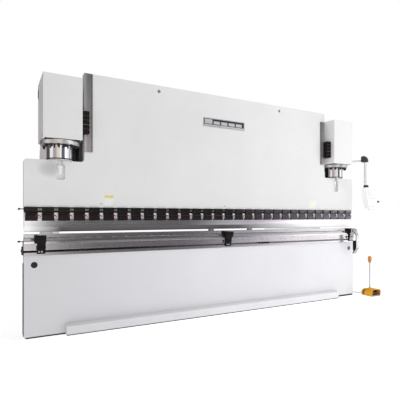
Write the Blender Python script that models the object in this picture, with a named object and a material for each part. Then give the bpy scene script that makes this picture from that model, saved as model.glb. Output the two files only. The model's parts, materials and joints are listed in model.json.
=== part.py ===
"""Hydraulic press brake, six metres wide.

Bed, worktable, ram and tools at the front, two C-frames with cylinders behind them, and
an oil tank, back gauge, electrical cabinet, front supports, pendant and foot switch.

Frame: origin on the floor, on the machine's centre in X and in the bending
plane (Y = 0); +Z up; the operator stands at -Y. Units are metres.
"""
from collections import namedtuple
from math import cos, pi, radians, sin

import bmesh
import bpy
from mathutils import Matrix, Vector

for old_object in list(bpy.data.objects):
    bpy.data.objects.remove(old_object, do_unlink=True)

# ------------------------------------------------------- shared dimensions
GAP = 0.0003                 # clearance between pieces that rest on each other
OVERCUT = 0.1                # how far a cutter runs out past an open face
SIDES = (("left", -1.0), ("right", 1.0))

HALF_LENGTH = 3.008          # bed and ram, centre to end
TOOL_HALF_LENGTH = HALF_LENGTH - 0.006
RAM_HALF_T = 0.060           # ram plate, half thickness
RAM_FRONT = -RAM_HALF_T - GAP    # back of the pieces lying on the ram's front
RAM_TOP = 3.535
RAM_SHOULDER = 2.310         # where the piston rods stand
RAM_FACE_BOTTOM = 1.690      # lower edge of the ram plate, top of the clamps
TONGUE_FRONT = -0.014
TONGUE_BOTTOM = 1.530        # lower edge of the ram's tool tongue
TONGUE_STEP_Y, TONGUE_STEP_Z = 0.0006, 1.5606    # step in the tongue's front

CLAMP_BOTTOM = 1.509
DIE_TOP = 1.335
DIE_BOTTOM = 1.288
HOLDER_BOTTOM = 1.240
TABLE_BOTTOM = 1.060
TABLE_FRONT = -0.104
SLOT_LOW, SLOT_HIGH = 1.100, 1.128   # T-slot mouth in the table's front
BED_FRONT = -0.086
BED_BACK = 0.060

FRAME_X = 2.550              # machine centre to the middle of a C-frame plate
FRAME_HALF_T = 0.050
FRAME_INNER = FRAME_X - FRAME_HALF_T - GAP   # pieces between the frames end here
FRAME_OUTER = FRAME_X + FRAME_HALF_T + GAP   # pieces on the outer face start here
JAW_FRONT = 0.255            # front of the frames' upper jaw

CYL_X = 2.560                # cylinder and piston rod axes
BORE_R = 0.176
ROD_R = 0.1675
GLAND_LOW, GLAND_HIGH = 2.510, 2.565
CYL_TOP = 3.340
TANK_TOP = 3.250

# ------------------------------------------------------------------- looks
Look = namedtuple("Look", "colour roughness metallic")
WHITE = Look(colour=(0.80, 0.80, 0.81), roughness=0.38, metallic=0.0)
WHITE_BLUE = Look(colour=(0.76, 0.78, 0.81), roughness=0.38, metallic=0.0)
STEEL = Look(colour=(0.55, 0.55, 0.56), roughness=0.28, metallic=1.0)
DARK_STEEL = Look(colour=(0.22, 0.22, 0.23), roughness=0.40, metallic=1.0)
CHROME = Look(colour=(0.80, 0.80, 0.82), roughness=0.10, metallic=1.0)
BLACK = Look(colour=(0.025, 0.025, 0.028), roughness=0.45, metallic=0.0)
PLATE_BLACK = Look(colour=(0.03, 0.03, 0.035), roughness=0.4, metallic=0.0)
MOTOR_BLUE = Look(colour=(0.10, 0.16, 0.24), roughness=0.45, metallic=0.0)
SWITCH_RED = Look(colour=(0.75, 0.05, 0.03), roughness=0.4, metallic=0.0)
PENDANT_RED = Look(colour=(0.70, 0.03, 0.02), roughness=0.35, metallic=0.0)
FOOT_YELLOW = Look(colour=(0.85, 0.50, 0.02), roughness=0.45, metallic=0.0)
FOOT_RED = Look(colour=(0.80, 0.18, 0.03), roughness=0.4, metallic=0.0)


def material(name, look):
    mat = bpy.data.materials.new(name)
    mat.use_nodes = True
    inputs = mat.node_tree.nodes["Principled BSDF"].inputs
    inputs["Base Color"].default_value = (*look.colour, 1.0)
    inputs["Roughness"].default_value = look.roughness
    inputs["Metallic"].default_value = look.metallic
    mat.diffuse_color = (*look.colour, 1.0)
    return mat


# ----------------------------------------------- shapes (loose bmeshes)
def placed(shape, matrix):
    bmesh.ops.transform(shape, matrix=matrix, verts=shape.verts)
    return shape


def box(x0, x1, y0, y1, z0, z1):
    shape = bmesh.new()
    bmesh.ops.create_cube(shape, size=1.0)
    for vert in shape.verts:
        vert.co = Vector(((x0 + x1) / 2 + vert.co.x * (x1 - x0),
                          (y0 + y1) / 2 + vert.co.y * (y1 - y0),
                          (z0 + z1) / 2 + vert.co.z * (z1 - z0)))
    return shape


def side_box(sign, inner, outer, *yz_limits):
    """Box on one side of the machine; inner and outer are distances from its centre."""
    return box(*sorted((sign * inner, sign * outer)), *yz_limits)


def prism(points, axis, start, end):
    """Closed outline extruded from start to end along an axis.
    axis "X": points are (y, z); "Y": (x, z); "Z": (x, y)."""
    place = {"X": lambda p, t: Vector((t, p[0], p[1])),
             "Y": lambda p, t: Vector((p[0], t, p[1])),
             "Z": lambda p, t: Vector((p[0], p[1], t))}[axis]
    shape = bmesh.new()
    face = shape.faces.new([shape.verts.new(place(p, start)) for p in points])
    extruded = bmesh.ops.extrude_face_region(shape, geom=[face])
    shift = place((0, 0), end) - place((0, 0), start)
    for item in extruded["geom"]:
        if isinstance(item, bmesh.types.BMVert):
            item.co += shift
    return shape


def turned(profile, centre, axis="Z", steps=28):
    """Closed profile of (radius, height) turned about an axis through centre.
    A profile point at radius 0 lies on the axis."""
    shape = bmesh.new()
    rings = []
    for radius, height in profile:
        if radius < 1e-6:
            rings.append([shape.verts.new((0, 0, height))])
            continue
        angles = [2 * pi * (i + 0.5) / steps for i in range(steps)]
        rings.append([shape.verts.new((radius * cos(a), radius * sin(a), height))
                      for a in angles])
    for ring, after in zip(rings, rings[1:] + rings[:1]):
        if len(ring) == 1 and len(after) == 1:
            continue
        for i in range(steps):
            j = (i + 1) % steps
            if len(ring) == 1:
                shape.faces.new((ring[0], after[i], after[j]))
            elif len(after) == 1:
                shape.faces.new((ring[i], after[0], ring[j]))
            else:
                shape.faces.new((ring[i], after[i], after[j], ring[j]))
    turn = {"Z": Matrix.Identity(4),
            "X": Matrix.Rotation(pi / 2, 4, "Y"),
            "Y": Matrix.Rotation(-pi / 2, 4, "X")}[axis]
    return placed(shape, Matrix.Translation(centre) @ turn)


def rod(radius, start, end, centre, axis="Z", steps=20):
    """Solid cylinder; start and end are measured from centre along the axis."""
    return turned([(0, start), (radius, start), (radius, end), (0, end)], centre, axis, steps)


def pipe(points, radius, steps=8):
    """A bent pipe: a round section carried along a poly-line, mitred at the bends."""
    path = [Vector(p) for p in points]
    shape = bmesh.new()
    rings = []
    across = None
    for i, point in enumerate(path):
        before = (point - path[i - 1] if i else path[1] - point).normalized()
        after = (path[i + 1] - point).normalized() if i < len(path) - 1 else before
        tangent = (before + after).normalized()
        if across is None:
            across = tangent.orthogonal().normalized()
        across = (across - tangent * across.dot(tangent)).normalized()
        third = tangent.cross(across)
        # widening of the section in the plane of the bend, limited at sharp bends
        stretch = 1.0 / max(0.5, tangent.dot(before))
        bend = after - before
        bend = bend.normalized() if bend.length > 1e-6 else None
        ring = []
        for j in range(steps):
            angle = 2 * pi * j / steps
            offset = across * (radius * cos(angle)) + third * (radius * sin(angle))
            if bend is not None:
                offset += bend * (offset.dot(bend) * (stretch - 1.0))
            ring.append(shape.verts.new(point + offset))
        rings.append(ring)
    for low, high in zip(rings, rings[1:]):
        for j in range(steps):
            k = (j + 1) % steps
            shape.faces.new((low[j], low[k], high[k], high[j]))
    shape.faces.new(rings[0])
    shape.faces.new(rings[-1])
    return shape


def arc(cx, cy, radius, start, end, steps):
    """Points on an arc in an outline's plane; angles in degrees."""
    angles = [radians(start + (end - start) * i / steps) for i in range(steps + 1)]
    return [(cx + radius * cos(a), cy + radius * sin(a)) for a in angles]


# ----------------------------------------------------------------- objects
def make(name, shape, look, smooth=False):
    """Turn a shape into a named object with its own material."""
    bmesh.ops.recalc_face_normals(shape, faces=shape.faces)
    mesh = bpy.data.meshes.new(name)
    shape.to_mesh(mesh)
    shape.free()
    ob = bpy.data.objects.new(name, mesh)
    bpy.context.collection.objects.link(ob)
    if look:
        mesh.materials.append(material(name + "_finish", look))
    if smooth:
        mesh.shade_smooth()
        mesh.set_sharp_from_angle(angle=radians(35))
    return ob


def combine(ob, shapes, operation):
    """Apply a boolean between ob and each shape, one after another."""
    for shape in shapes:
        tool = make(ob.name + "_tool", shape, None)
        modifier = ob.modifiers.new("bool", "BOOLEAN")
        modifier.operation = operation
        modifier.solver = "EXACT"
        modifier.object = tool
        depsgraph = bpy.context.evaluated_depsgraph_get()
        result = bpy.data.meshes.new_from_object(ob.evaluated_get(depsgraph))
        ob.modifiers.remove(modifier)
        old = ob.data
        ob.data = result
        bpy.data.meshes.remove(old)
        bpy.data.objects.remove(tool, do_unlink=True)


def join(ob, *shapes):
    combine(ob, shapes, "UNION")


def cut(ob, *shapes):
    combine(ob, shapes, "DIFFERENCE")


def pivot(ob, point):
    """Put the object's origin at point, leaving its mesh in place."""
    origin = Vector(point)
    ob.data.transform(Matrix.Translation(-origin))
    ob.location = origin


# -------------------------------------------------------------------- ram
RAM_UPPER_HALF = 2.250       # upper part of the ram, centre to edge
SHOULDER_RADIUS = 0.040      # rounding of the shoulders' outer corners
NOTCH_RADIUS = 0.045         # hollow where the upper part meets the shoulders
WEAR_STRIP_HEIGHTS = {"left": (2.450, 3.530), "right": (2.556, 3.367)}


def ram_outline():
    end, upper = HALF_LENGTH, RAM_UPPER_HALF
    corner_x, corner_z = end - SHOULDER_RADIUS, RAM_SHOULDER - SHOULDER_RADIUS
    notch_x, notch_z = upper + NOTCH_RADIUS, RAM_SHOULDER + NOTCH_RADIUS
    return [(-end, RAM_FACE_BOTTOM), (end, RAM_FACE_BOTTOM),
            *arc(corner_x, corner_z, SHOULDER_RADIUS, 0, 90, 4),
            *arc(notch_x, notch_z, NOTCH_RADIUS, 270, 180, 4),
            (upper, RAM_TOP), (-upper, RAM_TOP),
            *arc(-notch_x, notch_z, NOTCH_RADIUS, 0, -90, 4),
            *arc(-corner_x, corner_z, SHOULDER_RADIUS, 90, 180, 4)]


def stud_pocket(x):
    """Keyhole pocket in the ram's front, its narrow neck open at the shoulder."""
    neck, belly, base = 0.028, 0.058, 0.040      # half widths
    neck_top, neck_foot, round_z, belly_low, base_z = 2.36, 2.262, 2.225, 2.075, 2.055
    outline = [(x - neck, neck_top), (x - neck, neck_foot),
               *arc(x, round_z, belly, 130, 180, 3),
               (x - belly, belly_low), (x - base, base_z),
               (x + base, base_z), (x + belly, belly_low),
               *arc(x, round_z, belly, 0, 50, 3),
               (x + neck, neck_foot), (x + neck, neck_top)]
    return prism(outline, "Y", -0.10, 0.045)


def ram_plate():
    ram = make("ram_plate", prism(ram_outline(), "Y", -RAM_HALF_T, RAM_HALF_T), WHITE)
    top, back = RAM_FACE_BOTTOM + 0.01, 0.045
    tongue = [(TONGUE_FRONT, top), (TONGUE_FRONT, TONGUE_STEP_Z), (TONGUE_STEP_Y, TONGUE_STEP_Z),
              (TONGUE_STEP_Y, TONGUE_BOTTOM), (back, TONGUE_BOTTOM), (back, top)]
    join(ram, prism(tongue, "X", -HALF_LENGTH + 0.004, HALF_LENGTH - 0.004))
    for _, sign in SIDES:
        hole = rod(0.026, -0.05, 0.10, (sign * 1.150, -0.06, 3.449), "Y", 20)
        cut(ram, stud_pocket(sign * CYL_X), hole)


def wear_strip(side, sign):
    shape = side_box(sign, 2.140, 2.247, RAM_FRONT - 0.015, RAM_FRONT, *WEAR_STRIP_HEIGHTS[side])
    make("wear_strip_" + side, shape, STEEL)


def name_plate():
    shape = box(-0.395, 0.395, RAM_FRONT - 0.005, RAM_FRONT, 3.012, 3.152)
    make("name_plate", shape, PLATE_BLACK)


def piston_rod(side, sign):
    piston_r = BORE_R - 0.0015
    foot, top = RAM_SHOULDER + GAP, 3.040
    profile = [(0, foot), (ROD_R - 0.004, foot), (ROD_R, RAM_SHOULDER + 0.005),
               (ROD_R, 2.940), (piston_r, 2.950), (piston_r, top), (0, top)]
    shape = turned(profile, (sign * CYL_X, 0, 0), steps=32)
    make("piston_rod_" + side, shape, CHROME, smooth=True)


def tie_stud(side, sign):
    """Stud in the ram's pocket, with its collar and rounded seat."""
    top = RAM_SHOULDER - 0.001
    profile = [     # radius, z
        (0, 2.075), (0.026, 2.075), (0.032, 2.085), (0.032, 2.135), (0.026, 2.145),
        (0.040, 2.146), (0.040, 2.166), (0.028, 2.168), (0.038, 2.182), (0.044, 2.205),
        (0.040, 2.232), (0.026, 2.252), (0.018, 2.262), (0.018, top), (0, top)]
    shape = turned(profile, (sign * CYL_X, -0.006, 0), steps=16)
    make("tie_stud_" + side, shape, CHROME, smooth=True)


# ------------------------------------------------------------ upper tools
CLAMP_PITCH = 0.200
CLAMP_WIDTH = 0.150
CLAMP_COUNT = 30
CLAMP_ROW_SHIFT = -0.015     # the row sits slightly left of the centre
CLAMP_FRONT = -0.084
CLAMP_BACK = TONGUE_FRONT - GAP
PUNCH_TIP = 1.362


def tool_clamps():
    """Hook-shaped clamps on one backing rail."""
    front, back, top = CLAMP_FRONT, CLAMP_BACK, RAM_FACE_BOTTOM - GAP
    profile = [(front, top), (front, 1.622), (front + 0.018, 1.606), (front + 0.018, 1.592),
               (front + 0.002, 1.578), (front + 0.002, 1.530), (front + 0.014, CLAMP_BOTTOM),
               (back, CLAMP_BOTTOM), (back, top)]
    row = make("tool_clamps", box(-3.002, 2.962, -0.046, back, 1.575, 1.660), BLACK)
    for k in range(CLAMP_COUNT):
        middle = (k - (CLAMP_COUNT - 1) / 2) * CLAMP_PITCH + CLAMP_ROW_SHIFT
        join(row, prism(profile, "X", middle - CLAMP_WIDTH / 2, middle + CLAMP_WIDTH / 2))


def punch():
    front, step = TONGUE_FRONT + GAP, TONGUE_STEP_Y - GAP
    shank_top, seat, clamp_seat = 1.5600, TONGUE_BOTTOM - GAP, CLAMP_BOTTOM - GAP
    profile = [(front, shank_top), (step, shank_top), (step, seat), (0.030, seat),
               (0.030, 1.492), (0.010, 1.395), (0.0, PUNCH_TIP), (-0.010, 1.385),
               (-0.040, 1.430), (-0.046, clamp_seat), (front, clamp_seat)]
    make("punch", prism(profile, "X", -TOOL_HALF_LENGTH, TOOL_HALF_LENGTH), STEEL)


# ----------------------------------------------- bed, table and lower tools
BED_CORNER = 0.026           # rounding of the bed's lower corners
STRIP_HEIGHT = 0.140         # foot strip along the bed, its top sloping forward
STRIP_FRONT = -0.190
STRIP_LEFT, STRIP_RIGHT = -2.500, 2.490
TABLE_BACK = 0.100


def bed_plate():
    """Bed with a round plug in its front near each end."""
    top, corner_x = TABLE_BOTTOM - GAP, HALF_LENGTH - BED_CORNER
    outline = [(HALF_LENGTH, top), (-HALF_LENGTH, top),
               *arc(-corner_x, BED_CORNER, BED_CORNER, 180, 270, 5),
               *arc(corner_x, BED_CORNER, BED_CORNER, 270, 360, 5)]
    bed = make("bed_plate", prism(outline, "Y", BED_FRONT, BED_BACK), WHITE_BLUE)
    for side, sign in SIDES:
        centre = (sign * 2.885, BED_FRONT, 0.940)
        cut(bed, rod(0.036, -0.02, 0.03, centre, "Y", 20))
        plug = rod(0.0355, -0.002, 0.0295, centre, "Y", 20)
        make("bed_plug_" + side, plug, BLACK, smooth=True)


def foot_strip():
    back = BED_FRONT - GAP
    profile = [(back, 0), (STRIP_FRONT, 0), (STRIP_FRONT, STRIP_HEIGHT - 0.019),
               (STRIP_FRONT + 0.004, STRIP_HEIGHT - 0.015), (back, STRIP_HEIGHT)]
    make("foot_strip", prism(profile, "X", STRIP_LEFT, STRIP_RIGHT), WHITE_BLUE)


def worktable():
    """Table with a T-slot along its front, open at both ends."""
    front, top = TABLE_FRONT, HOLDER_BOTTOM - GAP
    neck, slot_back = front + 0.022, front + 0.038
    wide_low, wide_high = SLOT_LOW - 0.010, SLOT_HIGH + 0.010
    profile = [(front + 0.004, TABLE_BOTTOM), (TABLE_BACK, TABLE_BOTTOM), (TABLE_BACK, top),
               (front, top), (front, 1.214), (front + 0.006, 1.210), (front + 0.006, SLOT_HIGH),
               (neck, SLOT_HIGH), (neck, wide_high), (slot_back, wide_high),
               (slot_back, wide_low), (neck, wide_low), (neck, SLOT_LOW),
               (front + 0.004, SLOT_LOW)]
    make("worktable", prism(profile, "X", -HALF_LENGTH - 0.003, HALF_LENGTH + 0.003), STEEL)


def die_holder():
    top = DIE_BOTTOM - GAP
    profile = [(-0.052, HOLDER_BOTTOM), (0.052, HOLDER_BOTTOM), (0.052, 1.276),
               (0.040, top), (-0.040, top), (-0.052, 1.276)]
    half_length = HALF_LENGTH - 0.004
    make("die_holder", prism(profile, "X", -half_length, half_length), DARK_STEEL)


def v_die():
    half, opening = 0.038, 0.024     # the V is as deep as half its opening
    profile = [(-half, DIE_BOTTOM), (half, DIE_BOTTOM), (half, DIE_TOP), (opening, DIE_TOP),
               (0.0, DIE_TOP - opening), (-opening, DIE_TOP), (-half, DIE_TOP)]
    make("v_die", prism(profile, "X", -TOOL_HALF_LENGTH, TOOL_HALF_LENGTH), STEEL)


# --------------------------------------------------- C-frames and cylinders
FRAME_BACK = 2.150
FRAME_TOP = 3.360
THROAT_DEPTH = 0.460         # Y of the throat's back edge
THROAT_LOW, THROAT_HIGH = 1.000, 2.250
THROAT_RADIUS = 0.12
CYL_R = 0.215
GLAND_R = 0.250
BOLT_CIRCLE_R = 0.214
BOLT_ANGLES = (28, 53, 78, 102, 127, 152, 208, 233, 258, 282, 307, 332)  # clear of the ram
COVER_IN, COVER_OUT = 2.310, 2.797
COVER_FRONT, COVER_BACK = -0.250, 0.350
COVER_LOW, COVER_HIGH = 2.572, 3.394
COVER_T = 0.004


def c_frame(side, sign):
    front, corner_y = BED_BACK + GAP, THROAT_DEPTH - THROAT_RADIUS
    outline = [(front, 0), (FRAME_BACK, 0), (FRAME_BACK, 2.70), (FRAME_BACK - 0.45, FRAME_TOP),
               (JAW_FRONT, FRAME_TOP), (JAW_FRONT, THROAT_HIGH + 0.06),
               (JAW_FRONT + 0.06, THROAT_HIGH),
               *arc(corner_y, THROAT_HIGH - THROAT_RADIUS, THROAT_RADIUS, 90, 0, 4),
               *arc(corner_y, THROAT_LOW + THROAT_RADIUS, THROAT_RADIUS, 0, -90, 4),
               (front, THROAT_LOW)]
    faces = sorted((sign * (FRAME_X - FRAME_HALF_T), sign * (FRAME_X + FRAME_HALF_T)))
    make("c_frame_" + side, prism(outline, "X", *faces), WHITE)


def cylinder(side, sign):
    """Tube closed at the top, with the pad that meets the frame."""
    x, low, ceiling = sign * CYL_X, GLAND_HIGH + GAP, CYL_TOP - 0.060
    profile = [(BORE_R, low), (CYL_R, low), (CYL_R, CYL_TOP), (0, CYL_TOP),
               (0, ceiling), (BORE_R, ceiling)]
    shape = turned(profile, (x, 0, 0), steps=32)
    tube = make("cylinder_" + side, shape, DARK_STEEL, smooth=True)
    join(tube, box(x - 0.10, x + 0.10, 0.196, JAW_FRONT - GAP, 2.62, 3.30))


def gland_flange(side, sign):
    """Flange under the cylinder with the heads of its ring of bolts."""
    x, hole_r = sign * CYL_X, ROD_R + 0.0015
    profile = [(hole_r, GLAND_LOW), (GLAND_R - 0.004, GLAND_LOW), (GLAND_R, GLAND_LOW + 0.005),
               (GLAND_R, GLAND_HIGH), (hole_r, GLAND_HIGH)]
    shape = turned(profile, (x, 0, 0), steps=32)
    gland = make("gland_flange_" + side, shape, STEEL, smooth=True)
    for angle in map(radians, BOLT_ANGLES):
        centre = (x + BOLT_CIRCLE_R * cos(angle), BOLT_CIRCLE_R * sin(angle), 0)
        join(gland, rod(0.017, 2.470, GLAND_LOW + 0.01, centre, "Z", 8))


def cylinder_cover(side, sign):
    """Sheet cover: front, sides and top; open below and behind."""
    x0, x1 = sorted((sign * COVER_IN, sign * COVER_OUT))
    shape = box(x0, x1, COVER_FRONT, COVER_BACK, COVER_LOW, COVER_HIGH)
    cover = make("cylinder_cover_" + side, shape, WHITE)
    cut(cover, box(x0 + COVER_T, x1 - COVER_T, COVER_FRONT + COVER_T, COVER_BACK + OVERCUT,
                   COVER_LOW - OVERCUT, COVER_HIGH - COVER_T))
    # the inner side stops short at the back, below its top strip
    cut(cover, side_box(sign, COVER_IN - 0.02, COVER_IN + 0.02, 0.245, COVER_BACK + OVERCUT,
                        COVER_LOW - OVERCUT, COVER_HIGH - 0.02))


def guide_rail(side, sign):
    """Rear rail behind the ram's edge, its foot on the frame's inner face."""
    outline = [(2.120, 0.0618), (2.300, 0.0618), (2.300, 0.258), (FRAME_INNER, 0.258),
               (FRAME_INNER, 0.400), (2.120, 0.400)]
    shape = prism([(sign * x, y) for x, y in outline], "Z", 2.330, 3.330)
    make("guide_rail_" + side, shape, DARK_STEEL)


def guide_shoe(side, sign):
    """Front shoe, hooked round the ram's edge towards the rail."""
    outline = [(2.205, -0.170), (2.3045, -0.170), (2.3045, 0.0615), (2.256, 0.0615),
               (2.256, -0.0775), (2.205, -0.0775)]
    shape = prism([(sign * x, y) for x, y in outline], "Z", 2.685, 2.985)
    make("guide_shoe_" + side, shape, BLACK)


# ------------------------------------------------ tank, beam and hydraulics
WALL = 0.012                 # tank and beam walls
HYDRAULICS_Y = 0.95          # middle of motor, valve block and filler neck
BLOCK_LEFT, BLOCK_RIGHT = -0.90, -0.55
PIPE_Z = 3.34                # pipe height at the valve block
PIPE_HIGH = 3.37             # pipe height above the cylinders
PIPE_END_X, PIPE_END_Y = 2.44, 0.10


def oil_tank():
    """Hollow tank between the frames, with an open filler hole in its top."""
    front, back, bottom = 0.620, 1.300, 2.780
    shape = box(-FRAME_INNER, FRAME_INNER, front, back, bottom, TANK_TOP)
    tank = make("oil_tank", shape, WHITE)
    inner = FRAME_INNER - WALL
    cut(tank, box(-inner, inner, front + WALL, back - WALL, bottom + WALL, TANK_TOP - 0.010),
        rod(0.045, 3.20, 3.30, (-1.10, HYDRAULICS_Y, 0), "Z", 16))


def lower_cross_beam():
    """Square-cornered tube between the frames, open at its ends."""
    front, back, bottom, top = 1.900, 2.060, 0.120, 0.480
    shape = box(-FRAME_INNER, FRAME_INNER, front, back, bottom, top)
    beam = make("lower_cross_beam", shape, WHITE)
    reach = FRAME_INNER + OVERCUT
    cut(beam, box(-reach, reach, front + WALL, back - WALL, bottom + WALL, top - WALL))


def pump_motor():
    """Motor lying on the tank: end flange, pump, foot block and box on top."""
    centre = (0.10, HYDRAULICS_Y, 3.425)
    motor = make("pump_motor", rod(0.150, -0.25, 0.25, centre, "X", 24), MOTOR_BLUE, smooth=True)
    join(motor, rod(0.175, 0.24, 0.262, centre, "X", 24),
         rod(0.080, 0.25, 0.48, centre, "X", 16),
         box(-0.08, 0.28, 0.83, 1.07, TANK_TOP + GAP, 3.32),
         box(-0.02, 0.16, 0.85, 1.05, 3.54, 3.62))


def valve_block():
    """Block on the tank with two round posts on top."""
    shape = box(BLOCK_LEFT, BLOCK_RIGHT, 0.84, 1.06, TANK_TOP + GAP, 3.420)
    block = make("valve_block", shape, STEEL)
    join(block, *(rod(0.030, 0.0, 0.14, (x, HYDRAULICS_Y, 3.41), "Z", 12)
                  for x in (-0.82, -0.63)))


def pressure_pipes():
    """Pipes from the ends of the valve block to the tops of the cylinders."""
    y, x_end, y_end = HYDRAULICS_Y, PIPE_END_X, PIPE_END_Y
    end_z = CYL_TOP + GAP
    paths = {
        "left": [(BLOCK_LEFT - GAP, y, PIPE_Z), (-2.20, y, PIPE_Z), (-2.36, y, PIPE_HIGH),
                 (-2.40, 0.50, PIPE_HIGH), (-x_end, y_end, PIPE_HIGH), (-x_end, y_end, end_z)],
        "right": [(BLOCK_RIGHT + GAP, y, PIPE_Z), (-0.42, y, PIPE_Z), (-0.42, 0.72, PIPE_Z),
                  (2.20, 0.72, PIPE_Z), (2.36, 0.70, PIPE_HIGH), (2.40, 0.50, PIPE_HIGH),
                  (x_end, y_end, PIPE_HIGH), (x_end, y_end, end_z)]}
    for side, path in paths.items():
        make("pressure_pipe_" + side, pipe(path, 0.016), STEEL, smooth=True)


# ------------------------------------------------------ electrical cabinet
CABINET_OUTER = 2.940        # open face of the cabinet, covered by the door
CABINET_T = 0.004


def electrical_cabinet():
    """Sheet box on the right frame's outer face, open outwards."""
    front, back, bottom, top = 0.750, 1.550, 0.600, 1.900
    shape = box(FRAME_OUTER, CABINET_OUTER, front, back, bottom, top)
    cabinet = make("electrical_cabinet", shape, WHITE)
    cut(cabinet, box(FRAME_OUTER + CABINET_T, CABINET_OUTER + 0.05, front + CABINET_T,
                     back - CABINET_T, bottom + CABINET_T, top - CABINET_T))


def cabinet_door():
    """Door hollowed from its inner side, hinged at its rear edge."""
    x = CABINET_OUTER
    door = make("cabinet_door", box(x + 0.002, x + 0.024, 0.752, 1.552, 0.602, 1.898), WHITE)
    cut(door, box(x - 0.01, x + 0.021, 0.770, 1.534, 0.620, 1.880))
    pivot(door, (x + 0.013, 1.558, 1.250))


def main_switch():
    """Round switch with a grip bar, on the door's outer face."""
    x, y, z = CABINET_OUTER + 0.024, 0.870, 1.620
    shape = rod(0.032, 0.0, 0.010, (x + GAP, y, z), "X", 20)
    switch = make("main_switch", shape, SWITCH_RED, smooth=True)
    join(switch, box(x + 0.006, x + 0.022, y - 0.008, y + 0.008, z - 0.028, z + 0.028))
    pivot(switch, (x, y, z))


# ------------------------------------------------------------- back gauge
SCREW_X, SCREW_Z = 2.300, 1.060
GAUGE_RAIL_TOP = 0.980
GAUGE_Y = 0.900              # middle of the back gauge beam
FINGERS = (("left", 0.020), ("right", 0.840))    # name, x


def screw_hole(sign, radius, front):
    return rod(radius, front, 1.7, (sign * SCREW_X, 0, SCREW_Z), "Y", 20)


def backgauge_rail(side, sign):
    """Rail on the frame's inner face, with a block for the screw at each end."""
    shape = side_box(sign, 2.380, FRAME_INNER, 0.300, 1.620, 0.930, GAUGE_RAIL_TOP)
    rail = make("backgauge_rail_" + side, shape, STEEL)
    for y0, y1 in ((0.302, 0.336), (1.584, 1.618)):
        join(rail, side_box(sign, 2.262, 2.400, y0, y1, 0.935, 1.095))
    cut(rail, screw_hole(sign, 0.0175, 0.2))


def backgauge_screw(side, sign):
    """Screw along Y, on the inner side of its rail."""
    shape = rod(0.016, 0.285, 1.635, (sign * SCREW_X, 0, SCREW_Z), "Y", 20)
    screw = make("backgauge_screw_" + side, shape, STEEL, smooth=True)
    pivot(screw, (sign * SCREW_X, 0.32, SCREW_Z))


def backgauge_beam():
    """Beam across the machine, with a foot over each rail."""
    shape = box(-2.340, 2.340, GAUGE_Y - 0.060, GAUGE_Y + 0.060, 1.020, 1.150)
    beam = make("backgauge_beam", shape, WHITE)
    for _, sign in SIDES:
        join(beam, side_box(sign, 2.330, 2.480, GAUGE_Y - 0.10, GAUGE_Y + 0.10,
                            GAUGE_RAIL_TOP + GAP, 1.060))
    for _, sign in SIDES:
        cut(beam, screw_hole(sign, 0.0185, 0.3))


def backgauge_finger(side, x):
    """A saddle on the beam and a stop bar reaching forward to the dies."""
    saddle = [      # y from the beam's middle, z
        (-0.0605, 1.060), (-0.0605, 1.1503), (0.0605, 1.1503), (0.0605, 1.090),
        (0.075, 1.090), (0.075, 1.215), (-0.100, 1.280), (-0.100, 1.060)]
    shape = prism([(GAUGE_Y + y, z) for y, z in saddle], "X", x - 0.055, x + 0.055)
    finger = make("backgauge_finger_" + side, shape, BLACK)
    join(finger, box(x - 0.030, x + 0.030, 0.420, GAUGE_Y - 0.080, 1.220, 1.270),
         box(x - 0.045, x + 0.045, 0.400, 0.440, 1.230, 1.345))
    pivot(finger, (x, GAUGE_Y, 1.150))


# --------------------------------------------------------- front supports
# short bracket arms: the rear end lies over the table in front of the dies, the
# front end overhangs the slider held in the T-slot
SUPPORTS = {"left": -2.807, "middle": 0.024, "right": 2.886}     # x
ARM_LEFT, ARM_RIGHT = 0.080, 0.055   # the arm is wider on its left side
ARM_TOP = 1.328
ARM_FRONT, ARM_REAR = -0.212, -0.054
SLIDER_FRONT = -0.149
SLIDER_HALF = 0.050
SUPPORT_BACK = TABLE_FRONT - 0.0005  # support faces just clear of the table
HINGE_Y, HINGE_Z = ARM_FRONT - 0.020, 1.292


def support_slider(name, x):
    """Tongue in the T-slot and a block on the table's face."""
    front, back, tongue = SLIDER_FRONT, SUPPORT_BACK, TABLE_FRONT + 0.0215
    low, high = SLOT_LOW + 0.001, SLOT_HIGH - 0.001
    profile = [(tongue, low), (tongue, high), (back, high), (back, 1.190), (front, 1.190),
               (front, 1.094), (front + 0.010, 1.084), (back, 1.084), (back, low)]
    shape = prism(profile, "X", x - SLIDER_HALF, x + SLIDER_HALF)
    slider = make("support_slider_" + name, shape, BLACK)
    pivot(slider, (x, TABLE_FRONT, 1.114))


def support_arm(name, x):
    """Arm resting on the slider, with a narrower skirt down the slider's front."""
    skirt_back, skirt_front = SLIDER_FRONT - 0.0005, SLIDER_FRONT - 0.016
    bevel, foot = 0.006, HOLDER_BOTTOM + 0.0005
    profile = [(SUPPORT_BACK, 1.1905), (skirt_back, 1.1905), (skirt_back, 1.150),
               (skirt_front, 1.150), (skirt_front, 1.205), (ARM_FRONT, 1.262),
               (ARM_FRONT, ARM_TOP - bevel), (ARM_FRONT + bevel, ARM_TOP),
               (ARM_REAR - bevel, ARM_TOP), (ARM_REAR, ARM_TOP - bevel),
               (ARM_REAR, foot), (SUPPORT_BACK, foot)]
    shape = prism(profile, "X", x - ARM_LEFT, x + ARM_RIGHT)
    arm = make("support_arm_" + name, shape, BLACK)
    for x0, x1 in ((x - 0.12, x - SLIDER_HALF), (x + SLIDER_HALF, x + 0.12)):
        cut(arm, box(x0, x1, SLIDER_FRONT - 0.03, TABLE_FRONT, 1.10, 1.222))
    if name == "right":
        # ears either side of the drop stop's hinge
        for x0, x1 in ((x - 0.052, x - 0.0405), (x + 0.0405, x + 0.052)):
            join(arm, box(x0, x1, HINGE_Y - 0.014, ARM_FRONT + 0.010,
                          HINGE_Z - 0.020, HINGE_Z + 0.020))
    pivot(arm, (x, TABLE_FRONT - 0.030, 1.150))


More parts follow.
